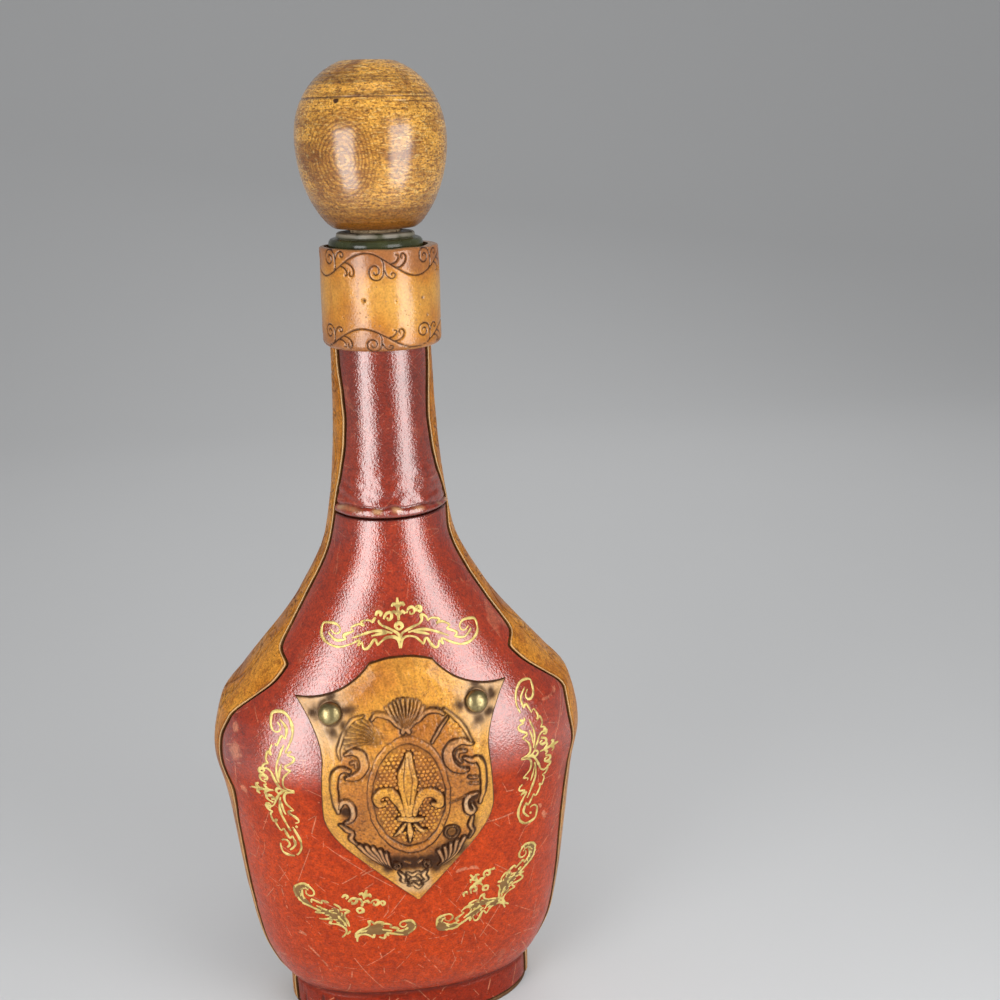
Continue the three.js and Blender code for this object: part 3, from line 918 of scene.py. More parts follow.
@dataclass(frozen=True)
class BottleGlass(Finish):
    """Dark olive bottle glass with faint streaks and dust."""

    name: str = "olive_bottle_glass"
    clear: Colour = (0.085, 0.095, 0.035)
    dark: Colour = (0.030, 0.034, 0.018)
    dust: Colour = (0.40, 0.35, 0.27)

    def lay_out(self, graph: Graph) -> Sockets:
        """Streaks of tint and patches of dust."""
        streaks = graph.noise(1, 3, graph.place(scale=(120, 120, 40)))
        colour = graph.tones(streaks, (0.35, self.dark), (0.65, self.clear))
        dusty = graph.times(graph.attribute("dust"), 0.85)
        smears = graph.step(graph.noise(260, 5), 0.45, 0.7, (0.14, 0.32))
        return {
            "Base Color": graph.mix(dusty, colour, self.dust),
            "Roughness": graph.sum("ADD", smears, graph.times(dusty, 0.4)),
            "Normal": graph.bump(graph.noise(90, 2), 0.08), "Transmission Weight": 0.15, "IOR": 1.51,
        }


@dataclass(frozen=True)
class TurnedWood(Finish):
    """Stained and waxed wood with a ring figure on the front and lines from the lathe."""

    name: str = "turned_honey_wood"
    pale: Colour = (0.98, 0.68, 0.25)
    honey: Colour = (0.82, 0.40, 0.06)
    brown: Colour = (0.24, 0.075, 0.010)
    dark: Colour = (0.060, 0.020, 0.006)
    shaded: Colour = (0.17, 0.055, 0.008)
    figure: Point = (-9.5, 0, 304.5)
    knot: Point = (-10.5, -18.5, 321)
    lathe_lines: float = 0.5

    def lay_out(self, graph: Graph) -> Sockets:
        """Growth rings about the figure, flecks, lathe lines, a knot and dark grooves."""
        shifted = graph.vector("SUBTRACT", graph.place(), [value * MM for value in self.figure])
        spread = graph.add("ShaderNodeMapping", {"Vector": shifted, "Scale": (1, 0.10, 0.72)}).outputs[0]
        inputs = {"Vector": spread, "Scale": 330, "Distortion": 5.5, "Detail": 4, "Detail Scale": 0.6}
        rings = graph.add("ShaderNodeTexWave", inputs, wave_type="RINGS", rings_direction="SPHERICAL")
        eye = graph.add("ShaderNodeVectorMath", {0: spread}, operation="LENGTH").outputs["Value"]
        veins = graph.step(rings.outputs["Fac"], 0.45, 0.8)
        height = graph.add("ShaderNodeSeparateXYZ", {0: shifted}).outputs["Z"]
        ends = graph.step(graph.sum("ABSOLUTE", height, 0), 0.008, 0.019, (0.2, 1))
        lathe = graph.step(graph.noise(1, 4, graph.place(scale=(16, 16, 620))), 0.50, 0.66)
        lathe = graph.times(lathe, ends)
        streaks = graph.noise(1, 4, graph.place((0, 0, 9), (70, 70, 420)))
        light = graph.noise(1, 2, graph.place((0, 0, 40), (420, 420, 1900)))
        flecks = graph.step(graph.noise(1, 3, graph.place(scale=(560, 560, 1900))), 0.51, 0.62)
        specks = graph.noise(1, 2, graph.place(scale=(1400, 1400, 2600)))
        colour = graph.paint(
            graph.tones(graph.noise(75, 6, twist=0.6), (0.26, self.brown), (0.50, self.honey)),
            (graph.step(streaks, 0.50, 0.68, (0, 0.5)), self.brown),
            (graph.step(light, 0.52, 0.68, (0, 0.45)), self.pale),
            (graph.times(flecks, 0.7), self.brown),
            (graph.times(veins, graph.step(eye, 0.015, 0.005, (0.05, 0.7))), self.brown),
            (graph.step(eye, 0.012, 0.007, (0, 0.4)), self.brown),
            (graph.step(specks, 0.58, 0.66, (0, 0.6)), self.dark),
            (graph.times(lathe, self.lathe_lines), self.dark),
            (graph.step(height, -0.007, -0.021, (0, 0.95)), self.shaded),
        )
        colour = graph.paint(
            graph.fleck(colour, 1400, 0.35),
            (graph.spot(self.knot, 1.1), self.dark),
            (graph.attribute("groove"), self.dark),
        )
        return {
            "Base Color": colour, "Normal": graph.bump(graph.sum("ADD", flecks, lathe), -0.06),
            "Roughness": graph.step(graph.noise(220, 4), 0.3, 0.7, (0.28, 0.44)),
            "Specular IOR Level": 0.25, "Specular Tint": (1, 0.6, 0.3, 1),
            "Coat Weight": graph.step(height, -0.010, -0.019, (1, 0.25)),
            "Coat Roughness": 0.21, "Coat IOR": 1.75,
        }


@dataclass(frozen=True)
class Cork(Finish):
    """Natural cork: pale ground with brown pits and streaks."""

    name: str = "natural_cork"
    ground: Colour = (0.68, 0.51, 0.30)
    pit: Colour = (0.16, 0.075, 0.028)

    def lay_out(self, graph: Graph) -> Sockets:
        """Grain and pits."""
        grain = graph.noise(420, 6)
        pits = graph.step(graph.noise(1, 3, graph.place(scale=(520, 520, 260))), 0.60, 0.68)
        brown = graph.step(grain, 0.3, 0.7, (0.5, 0))
        return {
            "Base Color": graph.paint(self.ground, (brown, self.pit), (graph.times(pits, 0.8), self.pit)),
            "Roughness": graph.step(grain, 0.3, 0.7, (0.72, 0.92)),
            "Normal": graph.bump(graph.sum("SUBTRACT", grain, pits), 0.15),
        }


@dataclass(frozen=True)
class StudioPaper(Finish):
    """Plain pale paper of the floor and the sweep behind it."""

    name: str = "pale_studio_paper"
    tone: Colour = (0.44, 0.445, 0.45)
    glow: float = 0.18

    def lay_out(self, graph: Graph) -> Sockets:
        """An almost even tone, and a pale glow that lights nothing but the view and its reflections."""
        darker = tuple(0.97 * value for value in self.tone)
        rays = graph.add("ShaderNodeLightPath").outputs
        seen = graph.sum("MAXIMUM", rays["Is Camera Ray"], rays["Is Glossy Ray"])
        seen = graph.sum("MAXIMUM", seen, rays["Is Transmission Ray"])
        return {
            "Base Color": graph.mix(graph.noise(9, 4), self.tone, darker), "Roughness": 0.9,
            "Specular IOR Level": 0.1, "Emission Color": (1, 1, 1, 1),
            "Emission Strength": graph.times(seen, self.glow),
        }


# Form shared by the glass and its leather


@dataclass
class FlaskForm:
    """Outline of the flask over its leather, and the strip that each side gusset covers."""

    foot_height: float = 12
    low: float = 1.8
    top: float = 275.6
    outline: tuple[Point, ...] = (
        (12, 45.2, 27.2), (20, 50.2, 31.3), (34, 55.3, 34.5), (95, 62.9, 38.9), (107, 65, 39.9),
        (124, 61.8, 37.8), (132, 55.3, 35.6), (162, 31.8, 25.8), (184, 21.5, 21.5),
        (220, 17.3, 17.3), (246, 16.4, 16.4), (277.6, 16.4, 16.4),
    )
    powers: Places = ((0, 2.3), (132, 2.3), (184, 2), (277.6, 2))
    gusset_half: Places = (
        (0, 9), (10, 9), (34, 12), (95, 15.5), (124, 16), (139, 20.3), (143, 19.8), (147.5, 12.8),
        (153.5, 10.2), (162, 8.4), (191.7, 7.7), (220, 10.2), (246, 7.2), (277.6, 7.2),
    )
    left_wander: Places = (
        (0, 0), (60, -1.6), (80, -1.8), (97, 1.2), (114, -2.6), (127, 0.3), (142, 0.6), (165, -0.8),
        (186, -0.6), (215, 0.3), (277.6, 0),
    )
    right_wander: Places = (
        (0, 0), (52, 0.8), (69, 1.2), (98, 0.4), (114, 2.4), (130, -1.2), (141, -0.4), (165, 1),
        (184, 0.6), (188, -1.2), (193, -4.4), (199, -2.6), (207, -0.8), (215, -0.6), (277.6, 0),
    )
    gusset_thickness: float = 2.4
    panel_inset: float = 0.6
    glass_inset: float = 3.0
    probe: float = 0.05

    def __post_init__(self) -> None:
        """Lays the curves through the stations."""
        self.width = SmoothCurve([(z, width) for z, width, _ in self.outline])
        self.depth = SmoothCurve([(z, depth) for z, _, depth in self.outline])
        self.power = SmoothCurve(self.powers)
        self.strip = SmoothCurve(self.gusset_half)
        self.wander = {Hand.LEFT: SmoothCurve(self.left_wander), Hand.RIGHT: SmoothCurve(self.right_wander)}

    def reach(self, z: Array, hand: Hand) -> Array:
        """How far in front of the flask's side the hand-cut edge of a gusset lies."""
        tremor = np.array([noise.noise((hand.value, 0.5, height / 7)) for height in z])
        return self.strip(z) + self.wander[hand](z) + 0.3 * tremor

    def halves(self, z: Array, inset: Array | float = 0) -> tuple[Array, Array]:
        """Half width and half depth of the sections at some heights, less an inset."""
        level = np.maximum(z, self.foot_height)
        return self.width(level) - inset, self.depth(level) - inset

    def point(self, z: Array, angle: Array, inset: Array | float) -> Array:
        """Points of the sections.

        Args:
            z: Heights.
            angle: Angles round the sections: 0 is +X, and a right angle is the front.
            inset: How far inside the outline the points lie.

        Returns:
            The points, with X, Y and Z along the last axis.
        """
        half, deep = self.halves(z, inset)
        bend = 2 / self.power(z)
        across, along = np.cos(angle), np.sin(angle)
        x = half * np.sign(across) * np.abs(across) ** bend
        y = -deep * np.sign(along) * np.abs(along) ** bend
        return together(x, y, z)

    def normal(self, points: Array, inset: float = 0) -> Array:
        """Outward normals of the sections' surface.

        Args:
            points: Points on the outline, or at an inset from it.
            inset: How far inside the outline they lie.

        Returns:
            Unit vectors, in the shape of the points.
        """
        x, y, z = np.moveaxis(points, -1, 0)
        power = self.power(z)
        half, deep = self.halves(z, inset)
        wider, deeper = self.halves(np.maximum(z, self.foot_height) + self.probe, inset)
        rise = np.where(z < self.foot_height, 0, 1) / self.probe
        part_x, part_y = np.abs(x) / half, np.abs(y) / deep
        spread = part_x**power * (wider - half) / half + part_y**power * (deeper - deep) / deep
        slope = together(
            np.sign(x) * part_x ** (power - 1) / half,
            np.sign(y) * part_y ** (power - 1) / deep,
            -spread * rise,
        )
        return slope / np.linalg.norm(slope, axis=-1, keepdims=True)

    def seam_angle(self, z: Array, reach: Array) -> Array:
        """Angle of the seam that lies a reach in front of the flask's side."""
        return np.arcsin((reach / self.halves(z)[1]) ** (self.power(z) / 2))

    def face_point(self, x: Array, z: Array, face: Face = Face.FRONT) -> Array:
        """Points on the panel of a broad face.

        Args:
            x: Places across the face.
            z: Places up it.
            face: The face.

        Returns:
            The points, with X, Y and Z along the last axis.
        """
        power = self.power(z)
        half, deep = self.halves(z, self.panel_inset)
        y = -face.value * deep * (1 - np.minimum(1, np.abs(x) / half) ** power) ** (1 / power)
        return together(x, y, z)

    def hand_wave(self, points: Array) -> Array:
        """Unevenness that the hand-stretched leather has at some points."""
        return 0.22 * ripple(points, 26, 3.7) + 0.10 * ripple(points, 9, 11.2)


# Ornament


@dataclass(frozen=True)
class ScrollVine:
    """Running vine of S waves, with a scroll and small curls in each bay."""

    wave: float = 40.8
    reach: float = 4.0
    branches: tuple[Places, ...] = (
        ((7.4, -1.7), (8.3, -3.4), (9.7, -4.4), (11.1, -4), (11.3, -2.9), (10.3, -2.6), (9.9, -3.2)),
        ((-8.6, 1), (-6.9, 0.6), (-5.2, -0.6), (-4.6, -2.4), (-5.5, -3.6), (-6.5, -3.2), (-6.4, -2.2)),
        ((9.5, 0.4), (11.4, 0.8), (12.7, 2), (12.8, 3.1), (11.9, 3.4)),
    )

    def lines(self, waves: int) -> list[Array]:
        """Draws the vine.

        Args:
            waves: Number of whole waves.

        Returns:
            Lines of places along and across the vine.
        """
        along = np.linspace(0, waves * self.wave, waves * 64 + 1)
        drawn = [together(along, self.reach * np.cos(2 * np.pi * along / self.wave))]
        scroll = [(6.3, 2.25), (7.15, 0.7), *volute((3.9, -2.1), (3.35, 0.7), 12, -1.45)]
        for bay in range(2 * waves):
            side = 1 if bay % 2 == 0 else -1
            for branch in (scroll, *self.branches):
                line = smooth_line(branch)
                drawn.append(line * (1, side) + (bay * self.wave / 2, 0))
        return drawn


@dataclass(frozen=True)
class AcanthusStamp:
    """Gilt stamp: two leaf sprays that leave a node, with end volutes and a cluster of blossoms."""

    spray: tuple[Places, ...] = (
        ((0.2, 0), (1.1, 2.7), (2.9, 3.4), (5.4, 2.7), (7.2, 0.8)),
        ((7.2, 0.8), (7.8, 0.1), (8.6, 1.6), (9.4, 1.4), (10.4, -0.6), (11.5, -1.8), (12.5, -1.6),
         (13.1, 0.2)),
        ((13.1, 0.2), (14.4, -1.4), (14, 0.6), (16.2, -0.8), (19.7, -2.7), (22.8, -3.1), (25.4, -2.3),
         (26.8, -0.5), (26.5, 2.6), (24.6, 3.6), (22.3, 3.9), (20.9, 3), (21, 1.5), (22.4, 0.8),
         (23.8, 1.6)),
        ((18.4, 0), (21.4, -1.1), (23.2, -0.5), (24.6, 0.6)),
        ((0.2, 2.4), (1.2, 4.5), (4.2, 5.8), (7.3, 6.6)),
        ((7.3, 6.6), (8.4, 7.7), (8.3, 9.4), (9.9, 8.4), (10.2, 7)),
        ((10.2, 7), (11.7, 7.6), (14.2, 6.5), (13.1, 5.5), (14.8, 5.7), (17.3, 4), (16.2, 3.1)),
        ((16.2, 3.1), (19.5, 1), (18.4, 0)),
        ((3.3, 4.6), (6.9, 4.8), (10, 4.2), (13.5, 2.5), (16.6, 0.7)),
        ((5.1, 4.4), (8.2, 3.5), (10.2, 2.6)),
    )
    blossom: tuple[Places, ...] = (
        ((-0.4, 5.4), (0.8, 6.6), (-0.4, 7.8), (-1.6, 6.6), (-0.4, 5.4)),
        ((-0.4, 6.2), (-0.4, 7)),
        ((-0.4, 8.6), (-0.6, 11), (-0.8, 13.6), (-0.9, 16.2)),
        ((-0.5, 10), (-1.9, 11.5), (-2.9, 11), (-2.7, 9.9)),
        ((-0.7, 12.8), (-2, 14.2), (-2.9, 13.2)),
        ((-0.5, 10.2), (0.9, 11.6), (1.7, 10.7)),
        ((-0.7, 13), (0.6, 14.4), (1.5, 13.4)),
        ((-5.6, 9), (-4.7, 10.8), (-3.2, 11.2), (-2.9, 9.6), (-3.9, 8.6), (-4.4, 9.6)),
        ((-4.4, 11.8), (-3.4, 12.6)),
        ((-8.3, 10), (-7.6, 11.4), (-6.4, 11), (-6.8, 9.9)),
        ((2.2, 10.9), (3, 12.6), (4.6, 12.7), (4.8, 11), (3.6, 10.5), (3.3, 11.6)),
        ((5.4, 11.3), (5.9, 12.9), (7.2, 12.5), (6.9, 11.1), (6, 11.8)),
    )
    washes: tuple[Places, ...] = (
        ((2.2, 3.6), (5.6, 3.9), (9.4, 3.4), (12.6, 2), (15.6, 0.4)),
        ((4.4, 5.2), (8.6, 5.6), (12.4, 5), (15, 3.6)),
        ((17, -1), (20, -2), (22.9, -2.3), (25, -1.5), (25.8, 0.2), (25.4, 2.2), (23.6, 3)),
    )
    wash_weight: float = 3.6
    vein_pitch: float = 1.5
    vein_reach: float = 1.25
    blossom_weight: float = 1.2
    weights: Places = ((0, 0.6), (0.35, 1), (0.7, 1), (1, 0.55))

    def veins(self, spine: Array) -> list[Array]:
        """Draws short curved veins that leave the spine of a leaf to both sides.

        Args:
            spine: Line of places along the leaf.

        Returns:
            A line for each vein.
        """
        ahead = np.gradient(spine, axis=0)
        ahead = ahead / np.linalg.norm(ahead, axis=1, keepdims=True)
        beside = ahead[:, ::-1] * (-1, 1)
        bends = ((0.1, 0.2), (0.5, 0.75), (1.1, 1.0))
        return [
            smooth_line([place + self.vein_reach * (a * way + side * b * out) for a, b in bends], 4)
            for place, way, out in list(zip(spine, ahead, beside))[1:-1] for side in (-1, 1)
        ]

    def lines(self, filled: bool) -> list[tuple[Array, int, float]]:
        """Lines of the whole stamp, node at the origin, sprays along X and blossoms up Y.

        Args:
            filled: Whether the leaves have a ground and veins.

        Returns:
            Each line with the side that its spray lies on, 0 for a blossom, and its weight.
        """
        half = [(smooth_line(places), 1.0) for places in self.spray]
        for places in self.washes if filled else ():
            spine = dense(smooth_line(places), self.vein_pitch)
            half.append((spine, self.wash_weight))
            half += [(vein, 0.8) for vein in self.veins(spine)]
        sprays = [(line * (side, 1), side, weight) for side in (1, -1) for line, weight in half]
        return [*sprays, *((smooth_line(places, 6), 0, self.blossom_weight) for places in self.blossom)]


@dataclass(frozen=True)
class Stamping:
    """Where one stamp is struck: its node across and up, its turn, its sprays' sizes and their fold."""

    node: Place
    turn: float
    sizes: Place = (1, 1)
    fold: float = 0
    raised: float = 0
    bold: float = 1
    part: float = 0
    filled: bool = False

    def strike(self, line: Array, side: int) -> Array:
        """Moves a line of the stamp to its place across and up the face.

        Args:
            line: Line in the stamp's own frame.
            side: Side that its spray lies on, or 0 for a blossom.

        Returns:
            The line's places across and up, with the sprays folded towards the blossoms.
        """
        along, up = rotated(*(line * self.sizes[side > 0]).T, side * self.fold)
        along, up = along + side * self.part, up if side else up + self.raised
        return together(*rotated(along, up, self.turn)) + self.node


FACE_STAMPS = (
    Stamping((0.2, 149.8), -3, (0.96, 0.99), 7.5, 0.5, 1.3),
    Stamping((-37.3, 103.3), 90, (0.99, 1.0), 6, -1.5, 1.35),
    Stamping((39.1, 107.3), -90, (0.95, 1.02), 5.5, -1, 1.2),
    Stamping((-22.4, 42.9), -20, (0.94, 0.78), 35.5, 7, 1.3, 2.6, True),
    Stamping((33.6, 47.7), 35, (0.93, 0.91), 33.5, 7, 1.2, 0.7, True),
)


# Sub-assemblies


@dataclass
class GlassFlask:
    """The glass flask, whose lip shows above the collar."""

    form: FlaskForm
    wall: float = 3.2
    floor: float = 6
    bore: float = 8.3
    bore_low: float = 254.3
    neck_mid: float = 220
    around: int = 96
    outer_rings: int = 120
    bore_rings: int = 14
    inner_rings: int = 80
    lip: Places = (
        (14.4, 276), (14.9, 276.6), (15.1, 277.4), (15.1, 278.3), (14.9, 279.1), (14.4, 279.7),
        (13.6, 280), (12.9, 280.1), (12.55, 280.35), (12.5, 280.9), (12.4, 281.4), (12, 281.7),
        (11.3, 281.8), (9.2, 281.8), (8.6, 281.6), (8.3, 281.1),
    )
    dusty: Place = (280.1, 280.7)
    finish: Finish = BottleGlass()

    def build(self) -> None:
        """Builds the flask as one skin: outside, lip, bore and inside."""
        angle = full_turn(self.around)
        outer_rows = np.linspace(self.form.low, self.form.top, self.outer_rings)
        outside = [self.form.point(z, angle, self.form.glass_inset) for z in outer_rows]
        neck_bore = float(self.form.width(self.neck_mid)) - self.form.glass_inset - self.wall
        stations = [(self.neck_mid, neck_bore), (self.bore_low, self.bore), (self.form.top, self.bore)]
        widen = SmoothCurve(stations)
        heights = np.linspace(self.bore_low, self.neck_mid, self.bore_rings)
        profile = [*self.lip, *((float(widen(z)), z) for z in heights)]
        inset = self.form.glass_inset + self.wall
        inner_rows = np.linspace(self.neck_mid, self.form.low + self.floor, self.inner_rings)[1:]
        inside = [self.form.point(z, angle, inset) for z in inner_rows]
        rings = np.array([*outside, *lathe(profile, self.around, -1), *inside])
        dust = soft_step(rings[..., 2], *self.dusty) * soft_step(ripple(rings, 3, 8.3), -0.7, 0.2)
        skin = Skin.turned(rings).mark("dust", dust)
        settle(skin.piece("glass_flask", self.finish.make()), Body.BOTTLE, ["glass_bottle"])


@dataclass
class RedPanels:
    """Red leather panels on the broad faces of the body and the neck."""

    form: FlaskForm
    hem_low: float = 191.7
    hem_height: float = 3.2
    hem_proud: float = 0.9
    fit_gap: float = 0.3
    seam_gap: float = 0.35
    edge_round: float = 0.6
    fold_height: float = 12.8
    fold_depth: float = 0.8
    fold_half: float = 1.4
    crack_end: float = -22
    body_pitch: float = 0.9
    body_columns: int = 170
    neck_pitch: float = 0.6
    neck_columns: int = 110
    inner_columns: int = 13
    even_share: float = 0.35
    finish: Finish = RedLeather()

    def grid(self, face: Face, rows: Array, columns: int) -> tuple[Array, Array]:
        """Grid of heights and section angles that covers a face between its seams.

        Args:
            face: Broad face of the flask.
            rows: Heights of the rows.
            columns: Number of columns, which lie closer near the seams.

        Returns:
            Heights by row, and angles as rows by columns.
        """
        even = np.linspace(0, 1, columns)
        share = self.even_share * even + (1 - self.even_share) * (0.5 - 0.5 * np.cos(np.pi * even))
        left, right = (
            self.form.seam_angle(rows, self.form.reach(rows, hand) + self.seam_gap)[:, None] for hand in Hand
        )
        return rows[:, None], face.value * (right + (np.pi - left - right) * share)

    def edge_distance(self, points: Array) -> Array:
        """Distance from the nearest seam or end.

        Args:
            points: Grid of points on a panel.

        Returns:
            The distance of each point.
        """
        along = walked(points, 1)
        ends = np.minimum(points[..., 2] - points[0, 0, 2], points[-1, 0, 2] - points[..., 2])
        return np.minimum(np.minimum(along, along[:, -1:] - along), ends)

    def foot_fold(self, base: Array) -> tuple[Array, Array, Array]:
        """Fold of a body panel over the foot.

        Args:
            base: Grid of points on the panel.

        Returns:
            Lift, darkness and wear of each point: the darkness is painted shade in the fold, and dark
                cracks.
        """
        fold = bell(base[..., 2] - self.fold_height, self.fold_half)
        cracks = soft_step(ripple(base * (1, 1, 0.12), 1.6, 4.4), 0.18, 0.4)
        cracks = cracks * soft_step(self.crack_end - base[..., 0], 0, 4)
        cracks = cracks * (1 - soft_step(base[..., 2], 9, 12))
        # Painted shade in the fold; the cracks are dark.
        dark = np.maximum(0.75 * fold, 0.8 * cracks)
        return -self.fold_depth * fold - 0.25 * cracks, dark, np.zeros_like(fold)

    def rolled_hem(self, base: Array) -> tuple[Array, Array, Array]:
        """Rolled hem of a neck panel, slack at one end.

        Args:
            base: Grid of points on the panel.

        Returns:
            Lift, darkness and wear of each point: the darkness is painted shade in the crease above the
                roll.
        """
        up = base[..., 2] - self.hem_low
        uneven = ripple(base * (1, 1, 0.3), 5, 1.9)
        height = self.hem_height * (1 - 0.45 * soft_step(base[..., 0], 6, 20) + 0.3 * uneven)
        share = np.clip(up / height, 0, 1)
        roll = self.hem_proud * (1 + 0.5 * uneven) * np.sqrt(np.sin(np.pi * share))
        crease = bell(up - height - 0.3, 0.42)
        wrinkles = 0.36 * ripple(base * (1, 1, 2.6), 6, 7.7) * bell(up - 5, 8)
        wrinkles = wrinkles + 0.2 * ripple(base * (1, 1, 1.5), 3.2, 1.3) * bell(up - 8, 9)
        wear = soft_step(share, 0.35, 0.75) * (1 - soft_step(up - height, -0.1, 0.3))
        wear = wear * soft_step(ripple(base * (1, 1, 0.4), 4, 9.4), -0.25, 0.3)
        return roll - 0.3 * crease + wrinkles, 0.55 * crease, wear

    def build(self) -> None:
        """Builds the four panels as slabs with rounded edges."""
        form, leather = self.form, self.finish.make()
        body = rows_between(form.low, self.hem_low - self.fit_gap, self.body_pitch, [self.fold_height])
        neck = rows_between(self.hem_low, form.top, self.neck_pitch, [self.hem_low + self.hem_height])
        parts = (
            ("body", body, self.body_columns, self.foot_fold),
            ("neck", neck, self.neck_columns, self.rolled_hem),
        )
        for face in Face:
            for part, rows, columns, shape in parts:
                base = form.point(*self.grid(face, rows, columns), form.panel_inset)
                distance = self.edge_distance(base)
                relief, shade, wear = shape(base)
                wave = form.hand_wave(base) * soft_step(distance, 0, 4)
                lift = wave + relief - edge_drop(distance, self.edge_round)
                outer = base + form.normal(base, form.panel_inset) * lift[..., None]
                inner = form.point(*self.grid(face, rows, self.inner_columns), form.gusset_thickness)
                # Edge value: dark seam edges, plus the painted shade of the fold and the hem's crease.
                dark = np.maximum(shade, 1 - soft_step(distance, 0.15, 0.9))
                skin = Skin.slab(outer, inner).mark("edge", dark, 1).mark("worn", wear)
                name = f"{face.name.lower()}_{part}_panel"
                settle(skin.piece(f"{name}_leather", leather), Body.BOTTLE, [name])


@dataclass
class SideGussets:
    """Tan strips down the narrow sides, tooled with a running vine and an edge line."""

    form: FlaskForm
    vine: ScrollVine
    edge_round: float = 0.5
    edge_line: float = 1.0
    edge_line_half: float = 0.2
    line_half: float = 0.3
    line_depth: float = 0.35
    vine_share: float = 0.62
    vine_most: float = 6.3
    border: float = 1.6
    waves: int = 8
    pitch: float = 0.42
    columns: int = 90
    crowding: float = 1.35
    inner_columns: int = 7
    finish: Finish = TooledLeather(
        "tan_gusset_leather", pale=(0.64, 0.27, 0.035), warm=(0.50, 0.175, 0.016), pores=0.7, mottle=0.5,
        grain=0.36)

    def grid(self, hand: Hand, rows: Array, columns: int) -> tuple[Array, Array]:
        """Grid of heights and section angles that covers a strip, closer near its edges.

        Args:
            hand: Narrow side of the flask.
            rows: Heights of the rows.
            columns: Number of columns.

        Returns:
            Heights by row, and angles as rows by columns.
        """
        edge = self.form.seam_angle(rows, self.form.reach(rows, hand))[:, None]
        even = np.linspace(-1, 1, columns)
        share = np.sign(even) * (1 - (1 - np.abs(even)) ** self.crowding)
        middle = 0 if hand is Hand.RIGHT else np.pi
        return rows[:, None], middle + edge * share

    def tooling(self, along: Array, across: Array, half: Array) -> Array:
        """Closeness of each point of a strip to a tooled line.

        Args:
            along: Length up the strip, by row.
            across: Length from the middle of the strip, as rows by columns.
            half: Half the breadth of the strip, by row.

        Returns:
            Values from 0, plain, to 1, in a line.
        """
        reach = np.minimum(self.vine_share * half, self.vine_most)
        widen = reach / self.vine.reach
        places = together(along[:, None], across / widen)
        distance, _ = StrokeField(self.vine.lines(self.waves)).nearest(places.reshape(-1, 2))
        vine = bell(distance.reshape(across.shape) * np.sqrt(widen), self.line_half)
        border = bell(np.abs(across) - reach - self.border, self.line_half)
        return np.maximum(vine, 0.8 * border * (half > reach + 3 * self.border))

    def build(self) -> None:
        """Builds both strips."""
        leather = self.finish.make()
        panels = RedPanels(self.form)
        rows = rows_between(self.form.low, self.form.top, self.pitch)
        for hand in Hand:
            base = self.form.point(*self.grid(hand, rows, self.columns), 0)
            across = walked(base, 1)
            half = across[:, -1:] / 2
            edge = half - np.abs(across - half)
            line = self.tooling(walked(base[:, self.columns // 2]), across - half, half)
            fold = 0.7 * bell(base[..., 2] - panels.fold_height, panels.fold_half)
            pared = edge_drop(edge, self.edge_round) + 0.2 * bell(edge - self.edge_line, 0.3)
            lift = self.form.hand_wave(base) - self.line_depth * line - pared - fold
            outer = base + self.form.normal(base) * lift[..., None]
            inner = self.form.point(*self.grid(hand, rows, self.inner_columns), self.form.gusset_thickness)
            stain = most(0.85 * line, 0.7 * bell(edge - self.edge_line, self.edge_line_half),
                         0.9 * (1 - soft_step(edge, 0.03, 0.16)))
            frayed = 0.14 + 0.1 * ripple(base * (1, 1, 0.3), 3, 2.6)
            skin = Skin.slab(outer, inner).mark("stain", stain, 0.95)
            skin.mark("cut", bell(edge - 0.1 - frayed, 0.6 * frayed + 0.06))
            name = f"{hand.name.lower()}_gusset"
            settle(skin.piece(f"{name}_leather", leather), Body.BOTTLE, [name])


